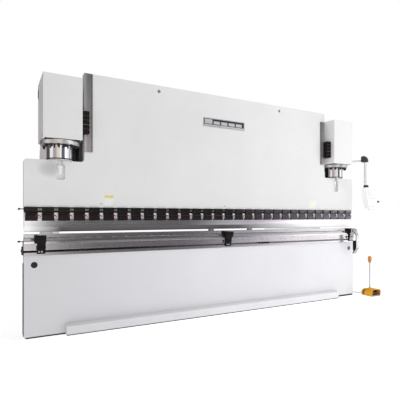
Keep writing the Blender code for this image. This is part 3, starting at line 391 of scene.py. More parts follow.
# ============================================================ finishes, one per kind of surface
WHITE = (1.0, 1.0, 1.0)
FINISH = {
    # the ram carries a painted shadow below and left of the left rod
    "ram": enamel("ram_enamel", (0.80, 0.80, 0.805), shade_in=0.12,
                  painted_shadow=(-2.69, 2.195, 0.17, 0.125, 0.50)),
    "frame": enamel("frame_enamel", (0.78, 0.78, 0.785), dirt_low=True),
    # the bed and the foot strip carry painted shade toward the left end
    "bed": enamel("bed_enamel", (0.822, 0.819, 0.852), dirt_low=True, shade_in=0.16,
                  painted_falloff=(-2.7, -0.4, 0.85)),
    "strip_paint": enamel("foot_strip_enamel", (0.835, 0.835, 0.862), shade_in=0.0,
                          painted_falloff=(-2.7, -0.2, 0.86)),
    "cover": enamel("cover_enamel", (0.80, 0.80, 0.80), rough=0.32, peel=0.7),
    "cabinet": enamel("cabinet_enamel", (0.79, 0.79, 0.79), rough=0.45, peel=1.8),
    "panel": lit(moulded("panel_housing", (0.82, 0.82, 0.825), rough=0.42),
                 colour=(0.99, 0.99, 1.0), strength=0.31),
    "tool": ground("tool_steel_ground", (0.82, 0.80, 0.81), rough=0.11, dark=0.22, stain=0.35,
                   spread=0.3),
    "table": ground("table_steel", (0.66, 0.635, 0.65), rough=0.17, spread=0.3, dark=0.25),
    "die": ground("die_steel", (0.60, 0.585, 0.595), rough=0.15, spread=0.3, dark=0.25),
    "holder": ground("holder_steel", (0.54, 0.53, 0.535), rough=0.16, stain=0.4, spread=0.3),
    "slot_dark": painted_light_along("slot_shadow_steel", left=(0.012, 0.012, 0.013),
                        right=(0.42, 0.41, 0.43), span_x=(-1.6, 1.6), rough=0.6),
    "rail": ground("guide_rail_steel", (0.075, 0.077, 0.082), along="Z", rough=0.40, stain=0.3),
    "strip": wear_strip("wear_strip_steel"),
    "cyl": ground("cylinder_steel", (0.30, 0.30, 0.31), along="Z", rough=0.36),
    "gland": ground("gland_steel", (0.72, 0.72, 0.72), along="Z", dark=0.12, stain=0.2),
    "bright": ground("bright_bar", (0.62, 0.62, 0.63), along="Y", rough=0.22, dark=0.15,
                     stain=0.25),
    "pipe": ground("pipe_steel", (0.60, 0.60, 0.60), rough=0.28, dark=0.15, stain=0.25),
    "zinc": ground("zinc_fastener", (0.62, 0.63, 0.66), along="Z", dark=0.15, stain=0.35),
    "chrome": chrome("hard_chrome"),
    "nut": chrome("plated_nut", tint=(0.78, 0.78, 0.80), rough=0.14),
    "clamp": clamp_black("clamp_blacked"),
    "tool_tip": tip_steel("tool_steel_tip", deep=0.15, low=(1.366, 1.380)),
    "shelf": tip_steel("holder_steel_shelf", deep=0.22),
    "shoe": moulded("shoe_blacked", (0.011, 0.011, 0.012), rough=0.55, grain=300, depth=0.03,
                    spec=0.12),
    "bolt": blacked("bolt_black_oxide", (0.030, 0.030, 0.032), rough=0.36, metal=0.7, wear=0.4),
    "support": blacked("support_black", (0.007, 0.007, 0.008), rough=0.50, metal=0.0, wear=0.12,
                       spec=0.14),
    "rubber": moulded("black_rubber", (0.022, 0.022, 0.023), rough=0.62, grain=300, depth=0.25,
                      spec=0.3),
    "grip": moulded("black_plastic", (0.030, 0.030, 0.032)),
    "plate": moulded("blank_plate", (0.020, 0.020, 0.024), rough=0.30, grain=900, depth=0.04),
    "rim": ground("plate_rim", (0.70, 0.70, 0.70), rough=0.25, dark=0.10, stain=0.1),
    "label_y": moulded("yellow_label", (0.80, 0.66, 0.16), rough=0.45, grain=900, depth=0.03),
    "label_w": moulded("pale_label", (0.88, 0.88, 0.84), rough=0.45, grain=900, depth=0.03),
    "motor": enamel("motor_enamel", (0.075, 0.125, 0.19), rough=0.42, peel=2.0),
    "yellow": moulded("switch_yellow", (0.84, 0.40, 0.012), rough=0.42, spec=0.3),
    "dark_in": moulded("switch_inside", (0.10, 0.045, 0.02), rough=0.6, grain=500, depth=0.2),
    "red": glow_lens("stop_red", (0.62, 0.02, 0.015)),
    "orange": moulded("stop_orange", (0.76, 0.28, 0.045), rough=0.35, grain=900, depth=0.03),
    # the red wedges fade to pale grey toward the right end: painted glare
    "redmark": painted_light_along("wedge_red", left=(0.17, 0.008, 0.022), right=(0.58, 0.56, 0.60),
                      span_x=(-0.8, 2.4), rough=0.40),
    "screen": lit(glow_lens("panel_screen", (0.83, 0.85, 0.90)),
                  colour=(0.93, 0.95, 1.0), strength=0.09),
    "key": moulded("panel_keys", (0.32, 0.33, 0.35), rough=0.45),
    "coil": moulded("valve_coil", (0.03, 0.03, 0.032), rough=0.50),
    "cable": moulded("cable_sheath", (0.20, 0.20, 0.205), rough=0.50),
    "glass": glow_lens("sight_glass", (0.62, 0.50, 0.20)),
    "passivated": ground("yellow_passivated", (0.42, 0.47, 0.36), rough=0.34, dark=0.2,
                         stain=0.3, metal=0.6),
    "bright_back": ground("bright_backing", (0.92, 0.90, 0.90), dark=0.06, stain=0.05, metal=0.0),
    "ledge": ground("ledge_polished", (0.80, 0.79, 0.79), rough=0.26, dark=0.10, stain=0.15,
                    metal=0.6),
    "pad": ground("support_pad_steel", (0.80, 0.79, 0.80), along="Y", dark=0.12, stain=0.2,
                  metal=0.4),
    "badge_pale": ground("badge_pale", (0.62, 0.62, 0.63), dark=0.08, stain=0.1, metal=0.5),
    "mark_red": moulded("mark_red", (0.50, 0.34, 0.34), rough=0.45, grain=900, depth=0.03),
    "seal": moulded("grey_seal", (0.50, 0.50, 0.51), rough=0.6, grain=300, depth=0.2),
    "weld": enamel("painted_weld", (0.74, 0.74, 0.745), rough=0.42, peel=2.0),
    "dark_in2": moulded("vent_dark", (0.03, 0.03, 0.03), rough=0.6, grain=400, depth=0.15),
    "motor_cowl": enamel("motor_cowl_enamel", (0.070, 0.115, 0.175), rough=0.40, peel=1.5),
    "tube_paint": enamel("tube_enamel", (0.90, 0.90, 0.90), rough=0.34, peel=0.6),
    "bezel": moulded("panel_bezel", (0.78, 0.79, 0.81), rough=0.38),
    "screen_ink": moulded("screen_blocks", (0.78, 0.80, 0.86), rough=0.30, grain=900, depth=0.02),
    "panel_key": moulded("panel_keypad", (0.80, 0.80, 0.80), rough=0.45),
    "stop_dark": glow_lens("stop_button_dark", (0.16, 0.085, 0.08)),
    "base_grey": moulded("switch_base", (0.30, 0.30, 0.33), rough=0.50),
    "treadle": moulded("treadle_plate", (0.20, 0.10, 0.09), rough=0.45, grain=300, depth=0.2),
    "pole": ground("pole_tube", (0.66, 0.66, 0.69), along="Z", rough=0.32, dark=0.12, stain=0.1,
                   metal=0.3),
    "cup": moulded("stop_cup", (0.66, 0.26, 0.04), rough=0.42),
    "pocket": lit(enamel("pocket_enamel", (0.74, 0.74, 0.74)),
                  colour=(0.9, 0.9, 0.92), strength=0.12),
    "plug_grey": moulded("plug_grey", (0.17, 0.17, 0.175), rough=0.5),
    "label_faint": moulded("label_faint", (0.86, 0.82, 0.66), rough=0.45, grain=900, depth=0.02),
    # painted shade: a darker copy of the frame enamel for the right frame's outer face
    "frame_side": enamel("frame_enamel_outer_shaded", (0.60, 0.60, 0.61), shade_in=0.5, reach=0.10),
    "frame_lift": lit(enamel("frame_enamel_inner", (0.80, 0.80, 0.80)),
                      colour=WHITE, strength=0.30),
    "cover_lift": lit(enamel("cover_enamel_side", (0.80, 0.80, 0.80), rough=0.32, peel=0.7),
                      colour=WHITE, strength=0.13),
    "nut_pale": lit(ground("tie_nut_plated", (0.86, 0.86, 0.87), along="Z", dark=0.12,
                           stain=0.15, metal=0.4), colour=(0.9, 0.9, 0.92), strength=0.13),
    # painted sheen: grey fronts on the black right-hand support, where it catches the light
    "support_front": ground("support_front_painted_sheen", (0.56, 0.56, 0.57), along="Z", dark=0.25,
                            stain=0.3, metal=0.3),
    # a dark finish for painted shade: the bed's shaded left end and the contact shadow under the
    # foot strip
    "edge_dark": blacked("bed_end_painted_shade", (0.085, 0.080, 0.092), rough=0.5, metal=0.1, wear=0.2),
    "brass": ground("brass_shim", (0.17, 0.125, 0.085), rough=0.35, dark=0.2, stain=0.3,
                    metal=0.3),
}


# ============================================================ mesh helpers
def span(first, second):
    """The two ends of a range in rising order, for parts mirrored to either side."""
    return sorted((first, second))


def arc(x, y, radius, degrees):
    return [(x + radius * cos(radians(a)), y + radius * sin(radians(a))) for a in degrees]


def rounded_rect(x0, x1, y0, y1, radius):
    points = []
    for x, y, start in ((x1 - radius, y0 + radius, -90), (x1 - radius, y1 - radius, 0),
                        (x0 + radius, y1 - radius, 90), (x0 + radius, y0 + radius, 180)):
        points += arc(x, y, radius, [start + 90 * i / 4 for i in range(5)])
    return points


def box(x0, x1, y0, y1, z0, z1):
    shape = bmesh.new()
    bmesh.ops.create_cube(shape, size=1.0)
    for v in shape.verts:
        v.co = Vector(((x0 + x1) / 2 + v.co.x * (x1 - x0), (y0 + y1) / 2 + v.co.y * (y1 - y0),
                       (z0 + z1) / 2 + v.co.z * (z1 - z0)))
    return shape


def prism(points, axis, start, end):
    """Outline carried along an axis; its points are the other two coordinates in order."""
    place = {"X": lambda p, t: Vector((t, p[0], p[1])),
             "Y": lambda p, t: Vector((p[0], t, p[1])),
             "Z": lambda p, t: Vector((p[0], p[1], t))}[axis]
    shape = bmesh.new()
    face = shape.faces.new([shape.verts.new(place(p, start)) for p in points])
    grown = bmesh.ops.extrude_face_region(shape, geom=[face])
    shift = place((0, 0), end) - place((0, 0), start)
    for item in grown["geom"]:
        if isinstance(item, bmesh.types.BMVert):
            item.co += shift
    return shape


def slab(x0, x1, y0, y1, z0, z1, radius, axis="Z"):
    """Box whose corners are rounded in the plane across an axis."""
    x, y, z = (x0, x1), (y0, y1), (z0, z1)
    across, up, along = {"X": (y, z, x), "Y": (x, z, y), "Z": (x, y, z)}[axis]
    return prism(rounded_rect(*across, *up, radius), axis, *along)


def stand(shape, centre, normal):
    """Move a shape built on the z axis to a centre, with its top toward normal."""
    turn = Vector(normal).normalized().to_track_quat("Z", "Y").to_matrix().to_4x4()
    bmesh.ops.transform(shape, matrix=Matrix.Translation(centre) @ turn, verts=shape.verts)
    return shape


def lathe(profile, centre, normal=UP, steps=40):
    """Closed profile of (radius, height) turned about normal through centre."""
    shape = bmesh.new()
    rings = []
    for r, h in profile:
        if r < 1e-6:
            rings.append([shape.verts.new((0, 0, h))])
        else:
            rings.append([shape.verts.new((r * cos(2 * pi * i / steps),
                                           r * sin(2 * pi * i / steps), h))
                          for i in range(steps)])
    for low, high in zip(rings, rings[1:] + rings[:1]):
        if len(low) == 1 and len(high) == 1:
            continue
        for i in range(steps):
            j = (i + 1) % steps
            if len(low) == 1:
                shape.faces.new((low[0], high[i], high[j]))
            elif len(high) == 1:
                shape.faces.new((low[i], high[0], low[j]))
            else:
                shape.faces.new((low[i], high[i], high[j], low[j]))
    return stand(shape, centre, normal)


def rod(radius, centre, normal, start, end, steps=24, chamfer=0.0):
    profile = [(0, start), (radius, start), (radius, end), (0, end)]
    if chamfer:
        profile = [(0, start), (radius - chamfer, start), (radius, start + chamfer),
                   (radius, end - chamfer), (radius - chamfer, end), (0, end)]
    return lathe(profile, centre, normal, steps)


def ring(inner, outer, centre, normal, start, end, steps):
    return lathe([(inner, start), (outer, start), (outer, end), (inner, end)],
                 centre, normal, steps)


def join(parts):
    """Put the shells of all parts into one shape."""
    whole = bmesh.new()
    for part in parts:
        mesh = bpy.data.meshes.new("tmp")
        part.to_mesh(mesh)
        part.free()
        whole.from_mesh(mesh)
        bpy.data.meshes.remove(mesh)
    return whole


def tagged(groups):
    """Join (shape, material index) groups; the index is kept on the faces."""
    for part, index in groups:
        for face in part.faces:
            face.material_index = index
    return join([part for part, index in groups])


def skin(shape, rings):
    """Faces between successive rings of vertices, and a cap at either end."""
    count = len(rings[0])
    for low, high in zip(rings, rings[1:]):
        for i in range(count):
            j = (i + 1) % count
            shape.faces.new((low[i], low[j], high[j], high[i]))
    shape.faces.new(rings[0][::-1])
    shape.faces.new(rings[-1])
    return shape


def hexagon(levels, x=0.0, y=0.0, turn=0.0):
    """Upright hexagonal solid through (corner radius, height) levels."""
    shape = bmesh.new()
    return skin(shape, [[shape.verts.new((x + r * cos(pi / 3 * i + turn),
                                          y + r * sin(pi / 3 * i + turn), h))
                         for i in range(6)] for r, h in levels])


def cap_screw(centre, normal, radius, height, steps=20):
    """Cap screw head with a hexagon socket, seated on centre and standing out along normal."""
    bore, floor = 0.56 * radius, height - 0.45 * radius
    head = lathe([(0, -0.001), (radius, -0.001), (radius, height - 0.12 * radius),
                  (radius * 0.88, height), (bore, height), (bore, floor), (0, floor)],
                 (0, 0, 0), UP, steps)
    # draw the socket's two rings to a hexagon
    for v in head.verts:
        if 0.5 * radius < math.hypot(v.co.x, v.co.y) < 0.6 * radius:
            angle = math.atan2(v.co.y, v.co.x)
            factor = cos(pi / 6) / cos(((angle + pi / 6) % (pi / 3)) - pi / 6)
            v.co.x, v.co.y = v.co.x * factor, v.co.y * factor
    return stand(head, centre, normal)


def flat_screw(centre, normal, radius, bore, top=0.0004, floor=-0.0004, base=-0.001, steps=20):
    """Thin flat head with a round recess."""
    return lathe([(0, base), (radius, base), (radius, top), (bore, top), (bore, floor),
                  (0, floor)], centre, normal, steps)


def hex_bolt(centre, normal, flats, height, washer=True):
    """Hexagon head with a chamfered crown, on a washer unless told otherwise."""
    corner = flats / 2 / cos(pi / 6)
    head = hexagon([(corner, 0.0), (corner, height * 0.82), (corner * 0.90, height)])
    if washer:
        head = join([head, rod(corner * 1.18, (0, 0, 0), UP, -height * 0.22, -0.0002)])
        bmesh.ops.translate(head, vec=(0, 0, height * 0.22), verts=head.verts)
    return stand(head, centre, normal)


def sweep(points, section):
    """Carry a closed section (list of (u, v)) along points, with mitred bends."""
    points = [Vector(p) for p in points]
    shape = bmesh.new()
    rings = []
    reference = None
    for i, p in enumerate(points):
        before = (p - points[i - 1] if i else points[1] - points[0]).normalized()
        after = (points[i + 1] - p).normalized() if i < len(points) - 1 else before
        tangent = (before + after).normalized()
        if reference is None:
            upright = abs(Vector(UP).dot(tangent)) >= 0.95
            reference = Vector(RIGHT if upright else UP).cross(tangent)
        u = (reference - tangent * reference.dot(tangent)).normalized()
        reference = u
        v = tangent.cross(u)
        widen = 1.0 / max(0.5, tangent.dot(before))
        bend = after - before
        bend = bend.normalized() if bend.length > 1e-6 else None
        loop = []
        for su, sv in section:
            offset = u * su + v * sv
            if bend is not None:
                offset += bend * (offset.dot(bend) * (widen - 1.0))
            loop.append(shape.verts.new(p + offset))
        rings.append(loop)
    return skin(shape, rings)


def circle(radius, count=12):
    return [(radius * cos(2 * pi * i / count), radius * sin(2 * pi * i / count))
            for i in range(count)]


def smooth_path(points, per):
    """Catmull-Rom curve through points, in per steps between neighbours."""
    points = [Vector(p) for p in points]
    padded = [points[0] * 2 - points[1], *points, points[-1] * 2 - points[-2]]
    path = []
    for a, b, c, d in zip(padded, padded[1:], padded[2:], padded[3:]):
        for k in range(per):
            t = k / per
            path.append(0.5 * ((2 * b) + (c - a) * t + (2 * a - 5 * b + 4 * c - d) * t * t
                               + (3 * b - a - 3 * c + d) * t ** 3))
    path.append(points[-1])
    return path


def fillet_path(points, radius, steps=5):
    """Poly-line with its corners rounded."""
    points = [Vector(p) for p in points]
    path = [points[0]]
    for a, b, c in zip(points, points[1:], points[2:]):
        back, ahead = (a - b).normalized(), (c - b).normalized()
        cut = min(radius / math.tan(back.angle(ahead) / 2), (a - b).length * 0.45,
                  (c - b).length * 0.45)
        start, end = b + back * cut, b + ahead * cut
        for k in range(steps + 1):
            t = k / steps
            path.append(start * (1 - t) ** 2 + b * 2 * t * (1 - t) + end * t * t)
    path.append(points[-1])
    return path


def weld_bead(start, end, radius, seed):
    """A tube with a rippled surface from start to end."""
    start, end = Vector(start), Vector(end)
    count = max(8, int((end - start).length / (radius * 1.6)))
    path = [start.lerp(end, i / count) for i in range(count + 1)]
    sides = 6
    bead = sweep(path, circle(radius, sides))
    draw = random.Random(seed)
    for k, v in enumerate(bead.verts):
        step = k // sides
        centre = path[step]
        v.co = centre + (v.co - centre) * (0.88 + 0.24 * (step % 2) + 0.06 * draw.random())
    return bead


def flute(shape, axes, centre, beyond, depth, count):
    """Press flutes into the rings of a lathed shape that lie beyond a radius."""
    i, j = axes
    for vert in shape.verts:
        across, up = vert.co[i] - centre[0], vert.co[j] - centre[1]
        if math.hypot(across, up) > beyond:
            factor = 1.0 - depth * (0.5 + 0.5 * cos(count * math.atan2(up, across)))
            vert.co[i] = centre[0] + across * factor
            vert.co[j] = centre[1] + up * factor
    return shape


def ease_edges(thing, width, segments=2):
    bevel = thing.modifiers.new("edge", "BEVEL")
    bevel.width = width
    bevel.segments = segments
    bevel.limit_method = "ANGLE"
    bevel.angle_limit = radians(40)
    bevel.use_clamp_overlap = True
    return bevel


def piece(name, shape, finish, body="root", bevel=0.0, segments=2, cad=None, angle=32):
    """Make a named object of a shape, or a list of shapes, that rides on a body.

    finish is one key of FINISH or a list of them; cad is (CAD node replaced, paint slot), and the
    paint slot is not used.
    """
    if isinstance(shape, list):
        shape = join(shape)
    bmesh.ops.recalc_face_normals(shape, faces=shape.faces)
    mesh = bpy.data.meshes.new(name)
    shape.to_mesh(mesh)
    shape.free()
    mesh.shade_smooth()
    mesh.set_sharp_from_angle(angle=radians(angle))
    for key in [finish] if isinstance(finish, str) else finish:
        mesh.materials.append(FINISH[key])
    thing = bpy.data.objects.new(name, mesh)
    bpy.context.scene.collection.objects.link(thing)
    if bevel:
        ease_edges(thing, bevel, segments).harden_normals = True
    if cad:
        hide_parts(cad[0])
    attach(thing, body)


def dress(node, finish, bevel):
    """Give a carried-over CAD node its finish; its edges are eased by modifiers."""
    thing = NODES[node]
    thing.data.materials.clear()
    thing.data.materials.append(FINISH[finish])
    for face in thing.data.polygons:
        face.material_index = 0
    if bevel:
        weld = thing.modifiers.new("weld", "WELD")
        weld.merge_threshold = 0.00002
        ease_edges(thing, bevel)


def face_finish(node, finish, test):
    """Second finish on the faces of a node that pass test(centre, normal)."""
    mesh = NODES[node].data
    mesh.materials.append(FINISH[finish])
    for face in mesh.polygons:
        if test(face.center, face.normal):
            face.material_index = len(mesh.materials) - 1


# ============================================================ world
scene = bpy.context.scene
scene.view_settings.view_transform = "Standard"
scene.view_settings.look = "None"

scene.world = scene.world or bpy.data.worlds.new("studio")
scene.world.use_nodes = True
sky = scene.world.node_tree
for old_node in list(sky.nodes):
    sky.nodes.remove(old_node)

direction = add_node(sky, "ShaderNodeTexCoord").outputs["Generated"]
parts = add_node(sky, "ShaderNodeSeparateXYZ", {0: direction})
# soft fill: a little brighter from the right and from above
fill_side = add_node(sky, "ShaderNodeMapRange", {
    "Value": parts.outputs[0], "From Min": -1.0, "From Max": 1.0, "To Min": 0.40, "To Max": 0.72})
fill_top = add_node(sky, "ShaderNodeMapRange", {
    "Value": parts.outputs[2], "From Min": 0.0, "From Max": 1.0, "To Min": 0.90, "To Max": 1.10})
fill = add_node(sky, "ShaderNodeMath", {0: fill_side.outputs[0], 1: fill_top.outputs[0]},
                operation="MULTIPLY")
# what bright metal sees: pale walls, open doors and dark gaps all round the machine
azimuth = add_node(sky, "ShaderNodeMath", {0: parts.outputs[0], 1: parts.outputs[1]},
                   operation="ARCTAN2")
turn = add_node(sky, "ShaderNodeMapRange", {
    "Value": azimuth.outputs[0], "From Min": -pi, "From Max": pi})
surroundings = add_node(sky, "ShaderNodeValToRGB", {0: turn.outputs[0]})
# (degrees from -Y toward +X, colour)
AROUND = (
    (-178, (0.12, 0.09, 0.08)), (-108, (0.12, 0.09, 0.08)), (-99, (1.0, 1.0, 1.0)),
    (-73, (1.0, 1.0, 1.0)), (-66, (0.46, 0.42, 0.44)), (-40, (0.50, 0.44, 0.46)),
    (-33, (0.85, 0.76, 0.62)), (-4, (0.95, 0.88, 0.80)), (-0.5, (1.1, 1.1, 1.1)),
    (4.3, (1.5, 1.5, 1.5)), (5.6, (0.70, 0.69, 0.70)), (7.0, (0.08, 0.075, 0.08)),
    (14, (0.13, 0.125, 0.13)), (19.5, (0.19, 0.185, 0.19)), (22, (0.12, 0.11, 0.12)),
    (28, (0.11, 0.105, 0.11)), (31.5, (0.50, 0.49, 0.53)), (33.3, (0.55, 0.53, 0.58)),
    (36, (0.46, 0.43, 0.50)), (39, (0.78, 0.73, 0.84)), (42, (1.5, 1.45, 1.55)),
    (46, (2.0, 2.0, 2.0)), (51, (1.9, 1.9, 1.9)), (55, (1.1, 1.1, 1.1)), (75, (1.1, 1.1, 1.1)),
    (79, (0.45, 0.45, 0.46)), (100, (0.45, 0.45, 0.46)), (104, (1.1, 1.1, 1.1)),
    (123, (1.1, 1.1, 1.1)), (127, (0.16, 0.15, 0.15)), (170, (0.15, 0.13, 0.12)))
# the colour band starts at -Y and runs by way of -X, +Y and +X back to -Y
stops = sorted(((-t / 360.0 if t < 0 else 1.0 - t / 360.0), colour) for t, colour in AROUND)
band = surroundings.color_ramp.elements
for stop, (position, colour) in ((band[0], stops[0]), (band[1], stops[-1])):
    stop.position, stop.color = position, (*colour, 1)
for position, colour in stops[1:-1]:
    band.new(position).color = (*colour, 1)
ray = add_node(sky, "ShaderNodeLightPath")
seen_by_metal = add_node(sky, "ShaderNodeMix", {
    "Factor": ray.outputs["Is Glossy Ray"], 6: fill.outputs[0], 7: surroundings.outputs[0]},
    data_type="RGBA")
seen_by_camera = add_node(sky, "ShaderNodeMix", {
    "Factor": ray.outputs["Is Camera Ray"], 6: seen_by_metal.outputs[2], 7: WHITE},
    data_type="RGBA")
background = add_node(sky, "ShaderNodeBackground", {
    "Color": seen_by_camera.outputs[2], "Strength": 1.0})
add_node(sky, "ShaderNodeOutputWorld", {"Surface": background.outputs[0]})

# ============================================================ floor: a plain pale sheet
sheet = bmesh.new()
bmesh.ops.create_grid(sheet, x_segments=1, y_segments=1, size=60.0)
floor_mesh = bpy.data.meshes.new("floor")
sheet.to_mesh(floor_mesh)
sheet.free()
floor = bpy.data.objects.new("floor", floor_mesh)
floor.location = (0, 0, -0.0005)
scene.collection.objects.link(floor)
look = Look("floor_white")
look.finish({
    "Base Color": look.mix(look.ramp(look.noise(scale=0.5, detail=2), over=(0.3, 0.7)),
                           (0.90, 0.90, 0.90), (0.92, 0.92, 0.92)),
    "Roughness": 0.8, "Specular IOR Level": 0.1,
    "Emission Color": WHITE, "Emission Strength": 0.54})
# reflections pass through the sheet
ray = look.node("ShaderNodeLightPath")
clear = look.node("ShaderNodeBsdfTransparent")
either = look.node("ShaderNodeMixShader", {
    0: ray.outputs["Is Glossy Ray"], 1: look.shader.outputs[0], 2: clear.outputs[0]})
output = [node for node in look.tree.nodes if node.type == "OUTPUT_MATERIAL"][0]
look.tree.links.new(either.outputs[0], output.inputs["Surface"])
floor_mesh.materials.append(look.material)


# ============================================================ lights and camera
def area_light(name, place, target, size, power):
    """Rectangular light without highlights, unseen in reflections."""
    light = bpy.data.lights.new(name, "AREA")
    light.shape = "RECTANGLE"
    light.size, light.size_y = size
    light.energy = power
    light.color = WHITE
    light.specular_factor = 0.0
    lamp = bpy.data.objects.new(name, light)
    lamp.location = place
    lamp.rotation_euler = (Vector(target) - Vector(place)).to_track_quat("-Z", "Y").to_euler()
    scene.collection.objects.link(lamp)
    lamp.visible_glossy = False


area_light("key", place=(5.6, -4.0, 2.0), target=(1.8, 0, 1.5), size=(4.2, 3.4), power=76)
area_light("top", place=(2.0, -3.2, 7.6), target=(-0.6, 0, 1.4), size=(2.4, 2.0), power=60)

lens = bpy.data.cameras.new("camera")
camera = bpy.data.objects.new("camera", lens)
scene.collection.objects.link(camera)
CAMERA_YAW = radians(28.305)      # from +Y toward +X
camera.location = (-3.360, -5.517, 1.561)
camera.rotation_euler = (pi / 2, 0, -CAMERA_YAW)
lens.sensor_width = 36.0
lens.lens = 35.019
lens.shift_x = -0.004625
lens.shift_y = 0.042
lens.clip_end = 200
scene.camera = camera

# ============================================================ carried-over CAD nodes
# (finish, bevel width, nodes)
CARRIED = (
    ("ram", 0.003, "ram_plate"), ("bed", 0.003, "bed_plate"), ("strip_paint", 0.002, "foot_strip"),
    ("frame", 0.003, "c_frame_left c_frame_right"), ("frame", 0.004, "oil_tank"),
    ("frame", 0.006, "lower_cross_beam"), ("frame", 0.003, "backgauge_beam"),
    ("cover", 0.002, "cylinder_cover_left cylinder_cover_right"),
    ("cabinet", 0.0015, "electrical_cabinet"), ("cabinet", 0.003, "cabinet_door"),
    ("cover", 0.002, "pendant_bracket"), ("cover", 0.001, "pendant_arm"),
    ("panel", 0.003, "pendant_panel"), ("tool", 0.0008, "punch"), ("die", 0.0008, "v_die"),
    ("table", 0.001, "worktable"), ("holder", 0.001, "die_holder"),
    ("rail", 0.002, "guide_rail_left guide_rail_right"),
    ("shoe", 0.002, "guide_shoe_left guide_shoe_right"),
    ("cyl", 0.002, "cylinder_left cylinder_right"), ("zinc", 0.002, "valve_block"),
    ("gland", 0.001, "gland_flange_left gland_flange_right"),
    ("strip", 0.001, "wear_strip_left wear_strip_right"),
    ("bright", 0.001, "backgauge_rail_left backgauge_rail_right"),
    ("bright", 0, "backgauge_screw_left backgauge_screw_right"),
    ("pipe", 0, "pressure_pipe_left pressure_pipe_right"),
    ("chrome", 0, "piston_rod_left piston_rod_right"), ("nut", 0, "tie_stud_left tie_stud_right"),
    ("clamp", 0.001, "tool_clamps"),
    ("support", 0.001, "support_slider_left support_slider_middle support_slider_right"),
    ("support", 0.001, "support_arm_left support_arm_middle support_arm_right support_stop"),
    ("support", 0.001, "backgauge_finger_left backgauge_finger_right"),
    ("plate", 0.001, "name_plate"), ("rubber", 0.001, "bed_plug_left bed_plug_right foot_treadle"),
    ("cable", 0, "foot_switch_cable"), ("motor", 0.002, "pump_motor"),
    ("yellow", 0.003, "foot_switch_body"), ("red", 0, "pendant_stop_button main_switch"),
    ("orange", 0, "foot_stop_button"),
)
for finish, bevel, names in CARRIED:
    for name in names.split():
        dress(name, finish, bevel)
        if name.startswith("support_"):
            NODES[name].visible_glossy = False

# ============================================================ driving dimensions
BED_HALF = 3.008              # bed and ram, centre to end
CLAMP_PITCH, CLAMP_WIDTH, CLAMP_SHIFT = 0.2, 0.15, -0.015
CLAMP_FACE = -0.084           # y of the clamps' front
TABLE_FACE = -0.104           # y of the worktable's front
LEFT_END = -3.004             # x of the left end of the tool rows
CYLINDER_X = 2.56             # centre of either cylinder
FRAME_X = 2.55                # middle of either C-frame's plate
PORT_X, PORT_Y = 2.44, 0.1    # pressure port on the cylinder's top
DOOR_FACE = 2.964             # x of the cabinet door's outside
BEAM_Y = 0.9                  # middle of the back gauge beam

# ============================================================ ram: tool clamps
CLAMP_MIDS = [(k - 14.5) * CLAMP_PITCH + CLAMP_SHIFT for k in range(30)]
CLAMP_BACK = -0.048
# side view (depth behind the clamp face, z), front edge from the top down
CLAMP_FRONT = (
    (0.004, 1.6895), (0, 1.6855), (0, 1.668), (0.006, 1.652), (0.006, 1.63), (0.02, 1.612),
    (0.02, 1.597), (0.004, 1.578), (0.002, 1.57), (0.002, 1.54), (0.008, 1.532), (0.008, 1.518),
    (0.016, 1.5095))
clamp_side = [(CLAMP_FACE + depth, z) for depth, z in CLAMP_FRONT]
clamp_side += [(CLAMP_BACK, 1.5095), (CLAMP_BACK, 1.6895)]
piece("clamp_bodies", [prism(clamp_side, "X", mid - CLAMP_WIDTH / 2, mid + CLAMP_WIDTH / 2)
                       for mid in CLAMP_MIDS],
      "clamp", "ram", bevel=0.0016, cad=("tool_clamps", "clamp_black"))

# wedge down each clamp's right edge, side view (distance before the face, z)
WEDGE = ((0.0006, 1.598), (0.003, 1.594), (0.003, 1.56), (0.0006, 1.556), (-0.001, 1.556),
         (-0.001, 1.598))
wedge_side = [(CLAMP_FACE - proud, z) for proud, z in WEDGE]
screws, wedges, levers = [], [], []
for mid in CLAMP_MIDS:
    right_edge = mid + CLAMP_WIDTH / 2
    for x in (-0.045, 0.045):
        screws.append(cap_screw((mid + x, CLAMP_FACE + 0.0062, 1.641), FRONT, 0.0085, 0.0065, 18))
    screws.append(cap_screw((mid - 0.03, CLAMP_FACE + 0.0022, 1.555), FRONT, 0.0065, 0.005, 18))
    wedges.append(prism(wedge_side, "X", mid + 0.058, right_edge - 0.001))
    # the lever reaches into the gap to the next clamp
    levers.append(slab(mid + 0.046, right_edge + 0.02, CLAMP_FACE - 0.0105, CLAMP_FACE - 0.0032,
                       1.5715, 1.5835, 0.003, "Y"))
    levers.append(rod(0.0085, (mid + 0.06, CLAMP_FACE - 0.0032, 1.5775), FRONT, 0, 0.0095,
                      20, 0.0012))
piece("clamp_screws", screws, "bolt", "ram", angle=35)
piece("clamp_wedges", wedges, "redmark", "ram", bevel=0.0006)
piece("clamp_levers", levers, "redmark", "ram", bevel=0.0008)

# stacked bars behind the clamps, and a plate at either end of the row
BACKING = (-2.992, 2.958)
BACKING_REAR = -0.0145
inset_backing = (BACKING[0] + 0.004, BACKING[1] - 0.004)
piece("clamp_backing", tagged([
    (box(*BACKING, -0.0478, BACKING_REAR, 1.6175, 1.6435), 0),
    (box(*BACKING, -0.05, BACKING_REAR, 1.644, 1.672), 1),
    (box(*BACKING, -0.054, BACKING_REAR, 1.6725, 1.6885), 0),
    (box(*inset_backing, -0.049, BACKING_REAR, 1.538, 1.617), 2),
    (box(*inset_backing, -0.0478, BACKING_REAR, 1.5096, 1.5375), 3),
    (slab(LEFT_END, -2.9925, -0.074, BACKING_REAR, 1.622, 1.688, 0.006, "X"), 0),
    (slab(2.9585, 2.972, -0.074, BACKING_REAR, 1.622, 1.688, 0.006, "X"), 0)]),
    ["clamp", "passivated", "bright_back", "tool"], "ram", bevel=0.0008)
pins = []
